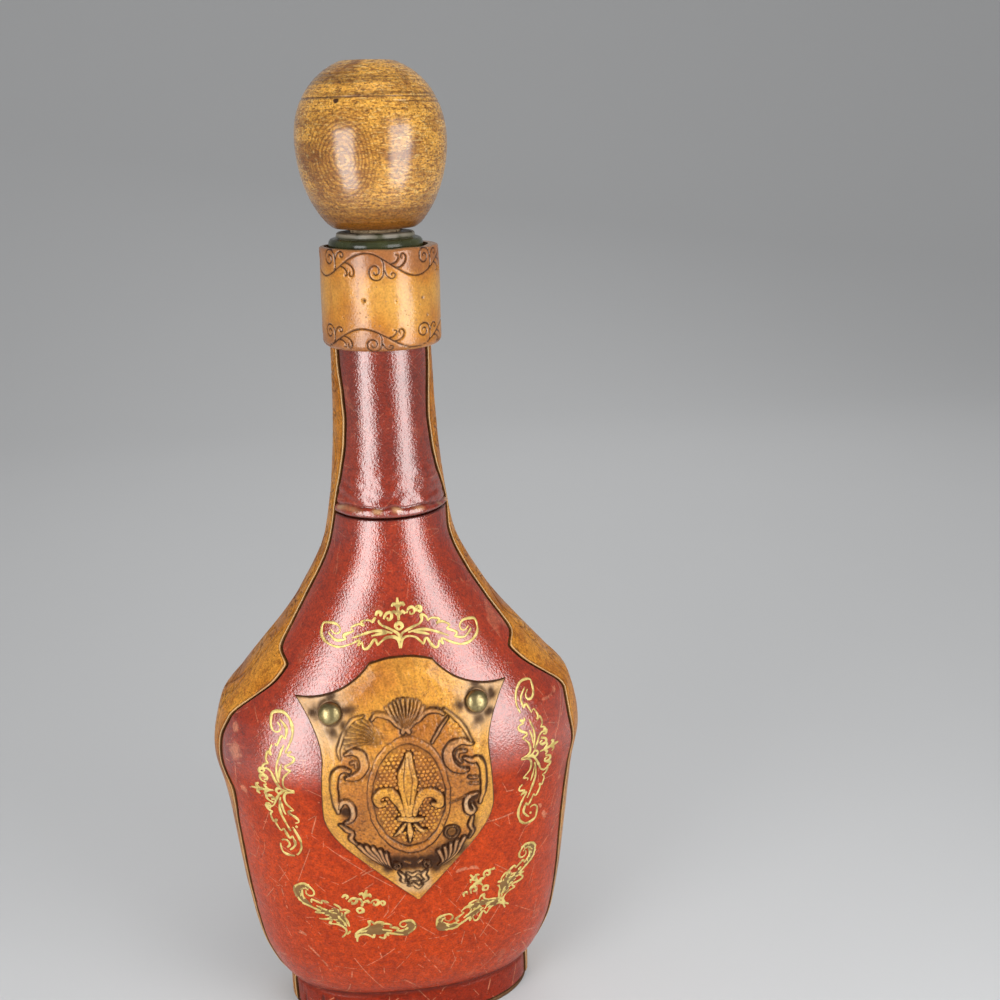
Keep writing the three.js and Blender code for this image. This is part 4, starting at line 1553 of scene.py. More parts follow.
@dataclass
class NeckCollar:
    """Tan band round the top of the neck, with a tooled vine along both edges.

    A border is given by its inset from the edge, its share of the vine's reach and the angle of a crest.
    """

    form: FlaskForm
    vine: ScrollVine
    low: float = 246
    top: float = 277.6
    inner: float = 16.7
    radius: float = 19.5
    low_round: float = 2.2
    top_round: float = 0.8
    wave_turn: float = 103
    top_border: Point = (4.7, 0.93, -14.6)
    low_border: Point = (4.2, 0.8, -19.6)
    line_half: float = 0.25
    line_depth: float = 0.32
    lap: float = 0.85
    draw_in: float = 0.35
    around: int = 520
    pits: tuple[Point, ...] = (
        (106.6, 262.2, 0.6), (47.4, 262, 0.45), (42, 256.4, 0.4), (76, 261.8, 0.25), (-40, 264, 0.5),
        (-120, 258, 0.4),
    )
    seam_angle: float = -90
    finish: Finish = TooledLeather(
        "collar_band_leather", pale=(0.70, 0.34, 0.06), warm=(0.58, 0.22, 0.024), deep=(0.37, 0.13, 0.035),
        mottle=0.2, grain=0.18, coat=0.65)

    def profile(self) -> Array:
        """Draws the band's section.

        Returns:
            Radius and height of the rings, from the low edge up the outside and down the inside.
        """
        def corner(centre: Place, radius: float, start: float) -> list[Place]:
            """Places on a quarter round."""
            angles = np.radians(start + np.linspace(0, 90, 7))
            return [(centre[0] + radius * math.cos(a), centre[1] + radius * math.sin(a)) for a in angles]

        low = corner((self.radius - self.low_round, self.low + self.low_round), self.low_round, -90)
        top = corner((self.radius - self.top_round, self.top - self.top_round), self.top_round, 0)
        wall = [(self.radius, z) for z in np.linspace(low[-1][1], top[0][1], 100)[1:-1]]
        inside = [(self.inner, z) for z in np.linspace(self.top, self.low, 5)]
        return np.array([*low, *wall, *top, *inside])

    def build(self) -> None:
        """Builds the band."""
        profile = self.profile()
        turn = full_turn(self.around)
        radius, z = (column[:, None] for column in profile.T)
        outside = radius > self.inner + 0.5
        scale = math.radians(self.wave_turn) * self.radius / self.vine.wave
        lines = []
        borders = ((self.top, -1, self.top_border), (self.low, 1, self.low_border))
        for edge, way, (inset, reach, crest) in borders:
            middle = edge + way * inset
            start = self.radius * math.radians(crest - 2 * self.wave_turn)
            lines += [line * (scale, reach) + (start, middle) for line in self.vine.lines(4)]
        places = together(self.radius * wrapped(np.pi / 2 - turn), z)
        distance, _ = StrokeField(lines).nearest(places.reshape(-1, 2))
        line = bell(distance.reshape(places.shape[:2]), self.line_half) * outside
        hollow = np.zeros_like(line)
        for degrees, height, size in self.pits:
            apart = wrapped(turn - math.radians(degrees)) * self.radius
            hollow = np.maximum(hollow, bell(np.hypot(apart, z - height), size))
        seam = bell(wrapped(turn - math.radians(self.seam_angle)) * self.radius, 0.3)
        stain = most(np.minimum(1.4 * line, 0.97), hollow, 0.8 * seam) * outside
        brim = 0.5 * np.array([noise.noise((2 * math.cos(a), 2 * math.sin(a), 4.1)) for a in turn])
        level = z + brim * soft_step(z, self.top - 9, self.top)
        rings = together(radius * np.cos(turn), -radius * np.sin(turn), level)
        taper = self.draw_in * (1 + soft_step(z, self.low + 6, self.top))
        wave = (2 * self.form.hand_wave(rings) + self.lap * np.cos(turn) - taper) * outside
        lift = wave - self.line_depth * line - 0.5 * np.maximum(hollow, seam) * outside
        skin = Skin.hoop(rings + lift[..., None] * outward(rings)).mark("stain", stain)
        rim = soft_step(z, self.top - 0.55, self.top - 0.1) * np.ones_like(line)
        skin.mark("cut", np.maximum(0.15 * rim, 0.6 * (1 - outside * np.ones_like(line))))
        zone = bell(z - self.top, 9) + bell(z - self.low, 8)
        skin.mark("fade", 0.12 - 0.3 * zone * np.ones_like(line) - 0.2 * rim)
        band = skin.piece("tooled_collar", self.finish.make())
        settle(band, Body.BOTTLE, ["neck_collar"])


@dataclass(frozen=True)
class Ridge:
    """Raised line of the badge: its places, its half breadth along it, and its rise."""

    places: Places
    half: tuple[float, ...] = (0.8,)
    rise: float = 0.55

    def drawn(self) -> Array:
        """Draws the ridge's middle line.

        Returns:
            Rows of across, up and half breadth.
        """
        line = smooth_line(self.places)
        stations = np.linspace(0, 1, len(self.half))
        breadth = np.interp(np.linspace(0, 1, len(line)), stations, self.half)
        return np.column_stack([line, breadth])


@dataclass
class ShieldBadge:
    """Embossed shield: a lily on a grained roundel in a scrolled frame, held by two domed studs."""

    form: FlaskForm
    height: float = 105.7
    sway: float = 2
    glue: float = 0.12
    face: float = 2.5
    skive: Place = (1.3, 4.5)
    point: Place = (0.8, -46.2)
    flank: Place = (20, -26.6)
    hip: Place = (28.8, -10.6)
    waist: Place = (27.7, 9.5)
    tip: Place = (35, 29.8)
    curl_half: float = 19
    crest: Place = (10.5, 40.3)
    top: Place = (2, 42)
    columns: int = 240
    inner_columns: int = 15
    rows_per_curve: int = 52
    groove: float = 0.42
    groove_depth: float = 0.26
    wobble: float = 0.35
    roundel_centre: Place = (0, -4.2)
    roundel_half: Place = (12.5, 19.8)
    roundel_depth: float = 0.35
    stud_places: Places = ((-24, 26), (24, 26))
    stud_radius: float = 3.8
    stud_dome: float = 2.9
    stud_around: int = 56
    stud_shank: Places = ((0.9, -1.1), (0.9, 0.05), (3.55, 0.05), (3.8, 0.22))
    stud_smears: Places = ((5.8, 0.8), (-5.6, -0.4), (0.3, 5.2), (0.3, -6.0), (4.2, -4.4))
    grain_radius: float = 0.6
    bead_radius: float = 1.15
    bead_seed: int = 7
    bead_pitch: float = 1.5
    lily: tuple[Ridge, ...] = (
        Ridge(((0.6, 11.6), (-0.2, 6), (-0.2, 1.5), (-0.3, -4), (-0.5, -10.8)),
              (1.2, 3, 3.9, 2.7, 1.5), 0.9),
        Ridge(((-2.2, -10.7), (-4, -5.4), (-6.2, -1.6), (-9, -1.6), (-10.6, -3.6), (-9.8, -6),
               (-8, -5.6)), (1, 1.5, 2, 2, 1.7, 1.5, 1), 0.85),
        Ridge(((1.4, -11), (3, -6), (5.3, -3), (8.3, -3.4), (10.1, -5.6), (9.7, -8.2), (7.8, -7.8)),
              (1, 1.5, 2, 2, 1.7, 1.5, 1), 0.85),
        Ridge(((-3.6, -12.2), (0, -12.7), (3.6, -13.1)), (1.15,), 1),
        Ridge(((-0.5, -14.2), (-0.6, -18), (-0.7, -21.4)), (0.9, 1.4, 0.6), 0.85),
        Ridge(((-1.8, -14.4), (-3.6, -17), (-5.9, -18.6)), (0.7, 1, 0.5), 0.7),
        Ridge(((1.4, -14.8), (3, -17.6), (5.3, -17.6)), (0.7, 1, 0.5), 0.7),
    )
    frame: tuple[Ridge, ...] = (
        Ridge(((-19.6, 12.9), (-17.2, 13.6), (-14.9, 12.3), (-13.9, 9.5), (-14.8, 6.8), (-17, 5),
               (-20, 4.8)), (0.6, 1.2, 1.5, 1.6, 1.5, 1.3, 0.7)),
        Ridge(((-18.4, 9.8), (-16.9, 10.2), (-16.6, 8.4)), (0.5, 0.6, 0.5), 0.4),
        Ridge(((-18.8, 7), (-21.2, 7.6), (-23.2, 6.4), (-24.1, 3.6), (-24.3, -0.5), (-24, -5),
               (-23.4, -8.4)), (0.7, 1.1, 1.4, 1.4, 1.3, 1.1, 0.7)),
        Ridge(((-23.2, -6.8), (-22.2, -4.5), (-20.4, -4.2), (-18.9, -6), (-18.7, -9), (-19.8, -11.8),
               (-21.6, -12.4)), (0.6, 0.9, 1, 1, 1, 0.9, 0.6), 0.6),
        Ridge(((-23.2, -13.4), (-21.3, -15.4), (-19.6, -16.6), (-20.2, -19), (-18.8, -21)),
              (0.6, 0.9, 0.7, 0.8, 0.5)),
        Ridge(((21.8, 12.4), (18.2, 13.8), (15, 12.8), (13.4, 10.2), (14.1, 6.8), (16.6, 4.4), (19.8, 3.7)),
              (0.6, 1.2, 1.6, 1.7, 1.6, 1.4, 0.8)),
        Ridge(((19.6, 10.4), (17.2, 10.6), (16.4, 8.6), (17.6, 7)), (0.5, 0.7, 0.7, 0.5), 0.4),
        Ridge(((19, 8.2), (21.4, 6.6), (23.2, 7), (24.8, 4.6), (25.3, 0), (24.9, -5.2), (23.6, -9.6)),
              (0.7, 1, 1.2, 1.2, 1.2, 1, 0.6)),
        Ridge(((20.3, 1), (23, 0.4)), (0.55,), 0.4),
        Ridge(((20.8, -1.5), (23.2, -2)), (0.55,), 0.4),
        Ridge(((22.8, -5.6), (20.2, -6.4), (18.8, -8.6), (19, -11.6), (20.6, -13.2), (21.8, -12), (21, -10)),
              (0.6, 1, 1.1, 1.1, 1, 0.8, 0.5), 0.7),
        Ridge(((13.6, -8.1), (19, -6)), (0.35,), 0.3),
        Ridge(((20.8, -15), (20, -18.2), (20.8, -20.6), (19.4, -23.6)), (0.7, 0.9, 0.7, 0.5)),
        Ridge(tuple(volute((13.5, -19.7), (2.3, 2.3), 0, 1)), (0.5,), 0.5),
        Ridge(((-10.7, 23.8), (-9, 25.4), (-5.8, 24.5), (-2.8, 21.9), (-0.7, 19.9)),
              (0.6, 0.8, 0.9, 0.8, 0.5)),
        Ridge(((1.1, 20), (4.1, 22.8), (7.7, 25), (11, 24.8), (12.8, 23.6)), (0.5, 0.8, 0.9, 0.8, 0.5)),
        Ridge(((-1, 19), (0, 20.4), (1, 19)), (0.8, 1, 0.8)),
        Ridge(((8.4, 14.8), (11.1, 18.9), (14, 22.2)), (0.5, 0.7, 0.5)),
        Ridge(((12.8, 25), (16.6, 21.9), (19.8, 17.7), (21.5, 13.6)), (0.5, 0.75, 0.75, 0.5), 0.4),
        Ridge(((-21.7, 11.4), (-21.8, 15), (-20.1, 19.5), (-16.9, 23.6), (-13.4, 25)),
              (0.5, 0.7, 0.75, 0.7, 0.5), 0.4),
        Ridge(((-3.4, -29.2), (-1.6, -30.4)), (0.5,), 0.3),
        Ridge(((1.2, -30.6), (2.6, -29.4)), (0.5,), 0.3),
        Ridge(tuple(volute((-6.1, -31), (1.5, 0.5), 120, -1.1, 8)), (0.5,), 0.6),
        Ridge(tuple(volute((4.3, -31.6), (1.5, 0.5), 60, 1.1, 8)), (0.5,), 0.6),
        Ridge(((-5.4, -33.6), (-4.2, -35.4), (-4.6, -37.2), (-3.2, -38)), (0.5, 0.9, 0.8, 0.4), 0.5),
        Ridge(((3.6, -34), (2.7, -35.6), (3.2, -37.2), (2, -38.2)), (0.5, 0.9, 0.8, 0.4), 0.5),
        Ridge(((-2.8, -34), (-1.2, -35), (0.6, -34.3), (1.8, -35.2)), (0.5, 0.8, 0.7, 0.4), 0.4),
        Ridge(((-2.4, -37), (-0.8, -36.5), (0.9, -37.3)), (0.5, 0.8, 0.4), 0.45),
        Ridge(((-2.9, -39.6), (-1, -39), (0.4, -40.3), (1.6, -39.5)), (0.4, 0.8, 0.8, 0.4), 0.45),
    )
    shell_foot: Place = (0.1, 20.2)
    shell_span: Place = (34, 132)
    shell_ribs: int = 11
    shell_reach: Place = (8.6, 9.2)
    left_flutes: Places = ((-18, -21.8), (-15.6, -22.2), (-13.2, -23), (-11, -24.2), (-9, -25.8))
    left_foot: Place = (-8, -31.4)
    right_flutes: Places = ((8.3, -26.4), (10.6, -25.4), (12.8, -24.6), (15.2, -23.6), (17.6, -22.8))
    right_foot: Place = (8, -32.8)
    leaf_foot: Place = (-8.6, 15.8)
    leaf_tips: Places = (
        (-19.4, 14.8), (-19.9, 16.6), (-19.6, 18.6), (-18.6, 20.6), (-17.2, 22.2), (-15.4, 23.4),
        (-13.4, 23.6), (-11.6, 22.8), (-10, 21.2),
    )
    bead_row: Places = ((14.7, 18.2), (16.4, 19.2), (17.8, 17.7))
    painted_highlight_curls: Places = ((-21, -7.4), (20.2, -9.4))
    soot: tuple[Four, ...] = (
        (-6.5, -29.4, 2.8, 1.6), (-3.4, -29.8, 2.8, 1.6), (-0.4, -30, 2.8, 1.6), (2.6, -30.2, 2.8, 1.6),
        (5.6, -30.2, 2.8, 1.6), (10, -29, 4.4, 1.4), (14, -26.6, 4.4, 1.4), (-13, -27, 3.6, 0.7),
        (-9, -31.5, 2.4, 1.1), (7, -33, 2.4, 1.1), (-21, -8.4, 1.9, 1.5), (20.6, -9.6, 2, 1.5),
        (22, -7, 1.8, 1.3), (13.5, -19.7, 1.8, 0.8), (11.6, 20.6, 1.5, 0.6), (11.4, -11.6, 1.6, 0.75),
        (-0.8, -36.5, 1.4, 0.7), (21.5, -16.8, 1.6, 0.6),
    )
    finish: Finish = TooledLeather(
        "shield_badge_leather", pale=(0.72, 0.33, 0.042), warm=(0.50, 0.18, 0.025), deep=(0.33, 0.10, 0.015),
        cut=(0.80, 0.54, 0.31), mottle=0.32, grain=0.28, gloss=0.36, coat=0.35, relief=2.2)
    brass: Finish = AgedBrass()

    def repeated_ridges(self) -> list[Ridge]:
        """Sets the ridges that follow a rule.

        Returns:
            Ribs of the shell, flutes at the foot and veins of the leaf.
        """
        ridges = []
        foot = np.array(self.shell_foot)
        for degrees in np.linspace(*self.shell_span, self.shell_ribs):
            way = np.array([math.cos(math.radians(degrees)), math.sin(math.radians(degrees))])
            end = foot + way * self.shell_reach
            bow = foot + 0.55 * way * self.shell_reach + (0.9 * way[0], -0.4)
            ridges.append(Ridge((tuple(foot), tuple(bow), tuple(end)), (0.2, 0.4, 0.6), 0.42))
        left, right = (self.left_flutes, self.left_foot, -0.4), (self.right_flutes, self.right_foot, 1.6)
        for heads, end, bulge in (left, right):
            for across, up in heads:
                middle = (0.45 * across + 0.55 * end[0] + bulge, 0.45 * up + 0.55 * end[1] - 0.6)
                ridges.append(Ridge(((across, up), middle, end), (0.9, 0.75, 0.35), 0.65))
        for tip in self.leaf_tips:
            middle = tuple(0.5 * np.add(self.leaf_foot, tip) + (0.4, 0.9))
            ridges.append(Ridge((self.leaf_foot, middle, tip), (0.2, 0.35, 0.6), 0.3))
        return ridges

    def outline(self) -> Array:
        """Draws the shield's edge.

        Returns:
            Half width and height of the rows, from the point to the crest.
        """
        slope = (self.flank[1] - self.point[1]) / (self.flank[0] - self.point[0])
        corner = (self.hip[0], self.flank[1] + slope * (self.hip[0] - self.flank[0]))
        sway = (self.waist[0], (self.waist[1] + self.tip[1]) / 2)
        legs = (
            (self.point, tuple(np.add(self.point, self.flank) / 2), self.flank),
            (self.flank, corner, self.hip),
            (self.hip, (self.hip[0], 0), self.waist),
            (self.waist, sway, self.tip),
            (self.tip, (self.curl_half, self.tip[1]), self.crest),
            (self.crest, (self.crest[0] / 2, self.top[1]), self.top),
        )
        t = np.linspace(0, 1, self.rows_per_curve, endpoint=False)[:, None]
        curves = [a * (1 - t) ** 2 + 2 * b * t * (1 - t) + c * t**2 for a, b, c in np.array(legs)]
        return np.vstack([*curves, self.top])

    def on_panel(self, across: Array, up: Array, lift: Array | float) -> Array:
        """Points in front of the panel, from the shield's own frame, whose point leans to the right.

        Args:
            across: Places across the shield.
            up: Places up it.
            lift: How far in front they lie.

        Returns:
            The points, with X, Y and Z along the last axis.
        """
        below = np.maximum(0, self.waist[1] - up) / (self.waist[1] - self.point[1])
        points = self.form.face_point(across + self.sway * below**2, self.height + up)
        points[..., 1] -= lift
        return points

    def raise_ridges(self, ridges: Iterable[Ridge], places: Array,
                     ground: Array) -> tuple[Array, Array]:
        """Raises flat-topped ridges over a ground.

        Args:
            ridges: The ridges.
            places: Places on the shield, one to a row.
            ground: Height of the ground at those places.

        Returns:
            The new heights, and the closeness to the edge of a ridge, from 0 to 1.
        """
        height, edge = ground.copy(), np.zeros(len(places))
        for ridge in ridges:
            line = ridge.drawn()
            reach = line[:, 2].max() + 2 * self.groove
            low, high = line[:, :2].min(0) - reach, line[:, :2].max(0) + reach
            near = np.flatnonzero(((places >= low) & (places <= high)).all(1))
            if not len(near):
                continue
            strokes = StrokeField([line])
            distance, number = strokes.nearest(places[near])
            half = strokes.points[number, 2]
            share = np.clip(distance / half, 0, 1)
            crown = ground[near] + ridge.rise * np.sqrt(1 - share**4)
            over = (share < 1) & (crown >= height[near])
            rim = bell(distance - half, self.groove) * min(1, ridge.rise / 0.5)
            edge[near] = np.where(over, rim, np.maximum(edge[near], rim * (height[near] < crown + 0.15)))
            height[near] = np.where(over, crown, height[near])
        return height, edge

    def roundel_share(self, places: Array) -> Array:
        """Distance from the roundel's middle as a share of its half size."""
        return np.hypot(*((places - self.roundel_centre) / self.roundel_half).T)

    def emboss(self, places: Array) -> tuple[Array, Array, Array]:
        """Relief of the badge.

        Args:
            places: Places on the shield, one to a row.

        Returns:
            Heights over the plain face, the lily's heights over its ground, and the closeness to an edge.
        """
        places = places + self.wobble * drift(places / 3.2, (1.4, 6.8))
        share = self.roundel_share(places)
        ground = -self.roundel_depth * (1 - soft_step(share, 0.92, 1.0))
        ring = 0.2 * bell((share - 1.045) * 14, 0.45)
        height, edge = self.raise_ridges((*self.frame, *self.repeated_ridges()), places, ground + ring)
        lily, rim = self.raise_ridges(self.lily, places, np.zeros(len(places)))
        for side in (-1, 1):
            vein = np.abs(places[:, 0] + 0.2 - side * 1.5 * (1 - np.abs(places[:, 1] - 2) / 12))
            crease = bell(vein, 0.25) * (np.abs(places[:, 1] - 2) < 9) * (lily > 0.3)
            lily, rim = lily - 0.2 * crease, np.maximum(rim, 0.7 * crease)
        rings = 0.8 * (bell((share - 0.965) * 14, 0.3) + bell((share - 1.105) * 14, 0.25)) * (height < 0.45)
        edge = most(edge, rim, rings)
        return np.maximum(height, ground + lily) - self.groove_depth * edge, lily, edge

    def stained(self, across: Array, up: Array, height: Array, edge: Array) -> Array:
        """Dark antique stain: in the grooves, sooty places and round the studs.

        Args:
            across: Places across the shield.
            up: Places up it.
            height: Relief there.
            edge: Closeness to the edge of a ridge there.

        Returns:
            Values from 0, clean, to 1, black.
        """
        blurred = height.copy()
        for _ in range(16):
            padded = np.pad(blurred, 1, mode="edge")
            blurred = (padded[:-2, 1:-1] + padded[2:, 1:-1] + padded[1:-1, :-2] + padded[1:-1, 2:]) / 4
        spread = together(across, 0, up)
        patchy = 0.85 + 0.5 * ripple(spread, 6, 3.9)
        lower = 0.85 + 0.45 * soft_step(-up, 2, 28) + 0.2 * soft_step(across, 2, 16)
        stain = np.maximum(3.0 * (blurred - height), 1.3 * edge) * patchy * lower
        share = self.roundel_share(together(across, up).reshape(-1, 2)).reshape(across.shape)
        stain = np.maximum(stain, 0.42 * (1 - soft_step(share, 0.85, 1.05)) * (height < 0.2) * patchy)
        for x, y, size, depth in self.soot:
            hollow = 0.15 + 0.85 * soft_step(blurred - height, -0.12, 0.02)
            stain = np.maximum(stain, depth * bell(np.hypot(across - x, up - y), size) * hollow)
        for stud in self.stud_places:
            for x, y in np.add(stud, self.stud_smears):
                spot = np.hypot(across - x, up - y)
                stain = np.maximum(stain, 0.95 * bell(spot + 1.2 * ripple(spread, 2.2, 0.7), 2.0))
            ring = np.hypot(across - stud[0], up - stud[1]) - self.stud_radius
            stain = np.maximum(stain, 0.8 * bell(ring, 0.7))
        return 0.98 * (1 - (1 - np.clip(stain, 0, 1)) ** 1.8)

    def build(self) -> None:
        """Builds the shield, its grained ground and its studs."""
        leather = self.finish.make()
        rows = self.outline()
        even = np.linspace(-1, 1, self.columns)
        across, up = rows[:, :1] * even, np.repeat(rows[:, 1:], self.columns, axis=1)
        flat = together(across, up).reshape(-1, 2)
        height, lily, edge = (values.reshape(across.shape) for values in self.emboss(flat))
        rim, _ = StrokeField([np.vstack([rows, rows[::-1] * (-1, 1)])]).nearest(flat)
        rim = rim.reshape(across.shape)
        plane = together(across + 0.35 * up, 0, up)
        streaks = ripple(plane * (1, 1, 0.06), 0.9, 5.3) * soft_step(up, 27, 31)
        inside = 1 - soft_step(np.hypot(across / 26, (up + 3) / 33), 0.86, 1.0)
        grain = ripple(plane, 1.0, 2.8)
        pendant = soft_step(-up, 32, 34.5) * (1 - soft_step(-up, 41, 44))
        pendant = pendant * soft_step(7 - np.abs(across + 0.8), 0, 3)
        pebble = 0.22 * grain * (inside + pendant)
        drop, breadth = self.skive
        pared = drop * (1 - soft_step(rim, 0, breadth)) + edge_drop(rim, 0.5)
        outer = self.on_panel(across, up, self.face + height + pebble - pared + 0.07 * streaks)
        inner = self.on_panel(rows[:, :1] * np.linspace(-1, 1, self.inner_columns), rows[:, 1:], self.glue)
        stain = most(
            self.stained(across, up, height, edge), 0.95 * (1 - soft_step(rim, 0.2, 0.6)),
            0.6 * np.clip(streaks, 0, 1), soft_step(-grain, 0.12, 0.45) * (0.55 * inside + 0.45 * pendant),
        )
        # Painted highlight: cream on the upper corners by the studs and on the crests of the two curls.
        corners = soft_step(np.abs(across), 14, 24) * soft_step(up - 3 * (across > 0), 8, 19)
        raised = soft_step(height, 0.12, 0.4)
        crest = 0.3 * raised * soft_step(-up, 2, 25) + 0.2 * raised * inside * soft_step(up, 4, 10)
        pale_and_painted_highlight = most(0.62 * corners, 0.6 * pendant, crest)
        for x, y in self.painted_highlight_curls:
            curl_highlight = bell(np.hypot(across - x, up - y), 3.6) * soft_step(height, 0.25, 0.5)
            pale_and_painted_highlight = np.maximum(pale_and_painted_highlight, 0.85 * curl_highlight)
        skin = Skin.slab(outer, inner).mark("stain", stain, 0.9).mark("cut", pale_and_painted_highlight)
        plain = 0.22 * (1 - inside) * (1 - 0.7 * soft_step(up, 18, 28))
        skin.mark("fade", plain + (0.22 * soft_step(lily, 0.3, 0.7) - 0.06) * inside)
        settle(skin.piece("embossed_shield", leather), Body.BOTTLE, ["shield_badge"])
        self.sow_beads(leather)
        self.set_studs()

    def sow_beads(self, leather: Material) -> None:
        """Sows the grains of the roundel's ground, and the beads beside the scrolls.

        Args:
            leather: The badge's leather.
        """
        pitch = self.bead_pitch
        steps = np.arange(-16, 17)
        grid = np.array([(pitch * (i + 0.5 * (j % 2)), 0.87 * pitch * j) for j in steps for i in steps])
        grid = grid + self.roundel_centre
        grid = grid + 0.45 * drift(grid, (2.3, 8.9))
        grid = grid[self.roundel_share(grid) < 0.9]
        _, lily, _ = self.emboss(grid)
        places = np.vstack([grid[lily < 0.05], self.bead_row])
        sizes = np.full(len(places), self.grain_radius)
        sizes[-len(self.bead_row):] = self.bead_radius
        height, _, _ = self.emboss(places)
        points = self.on_panel(places[:, 0], places[:, 1], self.face + height)
        normals = self.form.normal(points, self.form.panel_inset - self.face)
        cloud = point_cloud("grained_roundel", points, [], normals, sizes)
        settle(self.bead_tree().grow(cloud, leather), Body.BOTTLE)

    def bead_tree(self) -> GeometryTree:
        """Makes the tree that sets a flattened bead on each point.

        Returns:
            The tree, ready to grow.
        """
        made = GeometryTree("sown_beads", {"Flatness": 0.62, "Least": 0.75, "Most": 1.15, "Fade": 0.05})
        sizes = made.entry.outputs
        bead = made.add("GeometryNodeMeshUVSphere", {"Segments": 8, "Rings": 5, "Radius": MM})
        flat = made.add("ShaderNodeCombineXYZ", {"X": 1.0, "Y": 1.0, "Z": sizes["Flatness"]})
        shape = made.add("GeometryNodeTransform", {"Geometry": bead.outputs[0], "Scale": flat.outputs[0]})
        chance = {2: sizes["Least"], 3: sizes["Most"], 8: self.bead_seed}
        vary = made.add("FunctionNodeRandomValue", chance, data_type="FLOAT").outputs[1]
        lie = made.add("FunctionNodeAlignRotationToVector", {"Vector": made.named("lie", "FLOAT_VECTOR")})
        inputs = {"Points": sizes[0], "Instance": shape.outputs[0], "Rotation": lie.outputs[0],
                  "Scale": made.times(vary, made.named("size", "FLOAT"))}
        sown = made.add("GeometryNodeInstanceOnPoints", inputs)
        real = made.add("GeometryNodeRealizeInstances", {"Geometry": sown.outputs[0]})
        inputs = {"Geometry": real.outputs[0], "Name": "fade", "Value": sizes["Fade"]}
        paler = made.add("GeometryNodeStoreNamedAttribute", inputs, data_type="FLOAT", domain="POINT")
        made.close(paler.outputs[0])
        return made

    def set_studs(self) -> None:
        """Builds the two studs on the shield's face."""
        brass = self.brass.make()
        dome = [(self.stud_radius * math.cos(a), 0.55 + (self.stud_dome - 0.25) * math.sin(a))
                for a in np.linspace(0, 0.495 * np.pi, 18)]
        profile = np.array([*self.stud_shank, *dome])
        dark = np.repeat(1 - soft_step(profile[:, 1:], 0.3, 1.3), self.stud_around, axis=1)
        for hand, (across, up) in zip(Hand, self.stud_places):
            seat = self.on_panel(np.array(across), np.array(up), self.face)
            out = Vector(self.form.normal(seat, self.form.panel_inset - self.face))
            rings = lathe(profile, self.stud_around)
            dent = 0.05 * ripple(rings + 40 * hand.value, 1.6, 0.4)
            rings = rings + dent[..., None] * (0, 0, 1)
            frame_matrix = np.array(out.to_track_quat("Z", "Y").to_matrix())
            skin = Skin.turned(rings @ frame_matrix.T + seat).mark("edge", dark)
            name = f"{hand.name.lower()}_stud"
            settle(skin.piece(f"{name}_dome", brass), Body.BOTTLE, [name])


@dataclass
class Gilding:
    """Gold-tooled stamps on both broad faces."""

    form: FlaskForm
    stamp: AcanthusStamp
    stampings: tuple[Stamping, ...] = FACE_STAMPS
    line_half: float = 0.37
    line_height: float = 0.14
    lift: float = 0.04
    worn_below: float = -0.57
    pitch: float = 0.45
    finish: Finish = GoldLeaf()

    def runs(self, line: Array, shift: float) -> list[Array]:
        """Cuts a struck line where its gold is worn away.

        Args:
            line: Places across and up.
            shift: Number that tells one face's wear from the other's.

        Returns:
            The stretches that keep their gold.
        """
        places = dense(line, self.pitch)
        kept = [noise.noise((x / 3.1, z / 3.1, shift)) > self.worn_below for x, z in places]
        cuts = np.flatnonzero(np.diff(np.array(kept, int))) + 1
        pieces = np.split(places, cuts)
        flags = [kept[0] ^ bool(i % 2) for i in range(len(pieces))]
        return [piece for piece, flag in zip(pieces, flags) if flag and len(piece) > 2]

    def build(self) -> None:
        """Builds the gold of each face."""
        gold = self.finish.make()
        for face in Face:
            points, normals, sizes, edges = [], [], [], []
            for stamping in self.stampings:
                for line, side, weight in self.stamp.lines(stamping.filled):
                    for run in self.runs(stamping.strike(line, side), 3.3 * face.value):
                        base = self.form.face_point(run[:, 0], run[:, 1], face)
                        out = self.form.normal(base, self.form.panel_inset)
                        sunk = self.line_height * (weight - 1) / 2 * 1.05
                        lift = self.form.hand_wave(base) + self.lift - sunk
                        start = sum(len(part) for part in points)
                        points.append(base + out * lift[:, None])
                        normals.append(out)
                        taper = np.interp(np.linspace(0, 1, len(run)), *zip(*self.stamp.weights))
                        press = 1 + 0.5 * ripple(base, 2.4, 5.5)
                        sizes.append(weight * stamping.bold * taper * press)
                        edges += [(start + i, start + i + 1) for i in range(len(run) - 1)]
            cloud = point_cloud(f"{face.name.lower()}_gilding", np.vstack(points), edges,
                                np.vstack(normals), np.concatenate(sizes))
            settle(self.lay_lines().grow(cloud, gold), Body.BOTTLE)

    def lay_lines(self) -> GeometryTree:
        """Makes the tree that sweeps a flat rounded line along each run.

        Returns:
            The tree, ready to grow.
        """
        halves = {"Half Breadth": self.line_half, "Half Height": self.line_height / 2}
        made = GeometryTree("gilt_lines", halves)
        sizes = made.entry.outputs
        curve = made.add("GeometryNodeMeshToCurve", {"Mesh": sizes[0]})
        inputs = {"Curve": curve.outputs[0], "Normal": made.named("lie", "FLOAT_VECTOR")}
        laid = made.add("GeometryNodeSetCurveNormal", inputs, mode="FREE")
        circle = made.add("GeometryNodeCurvePrimitiveCircle", {"Resolution": 8, "Radius": MM})
        inputs = {"X": sizes["Half Height"], "Y": sizes["Half Breadth"], "Z": 1.0}
        flat = made.add("ShaderNodeCombineXYZ", inputs)
        shape = made.add("GeometryNodeTransform", {"Geometry": circle.outputs[0], "Scale": flat.outputs[0]})
        inputs = {"Curve": laid.outputs[0], "Profile Curve": shape.outputs[0],
                  "Scale": made.named("size", "FLOAT"), "Fill Caps": True}
        made.close(made.add("GeometryNodeCurveToMesh", inputs).outputs[0])
        return made


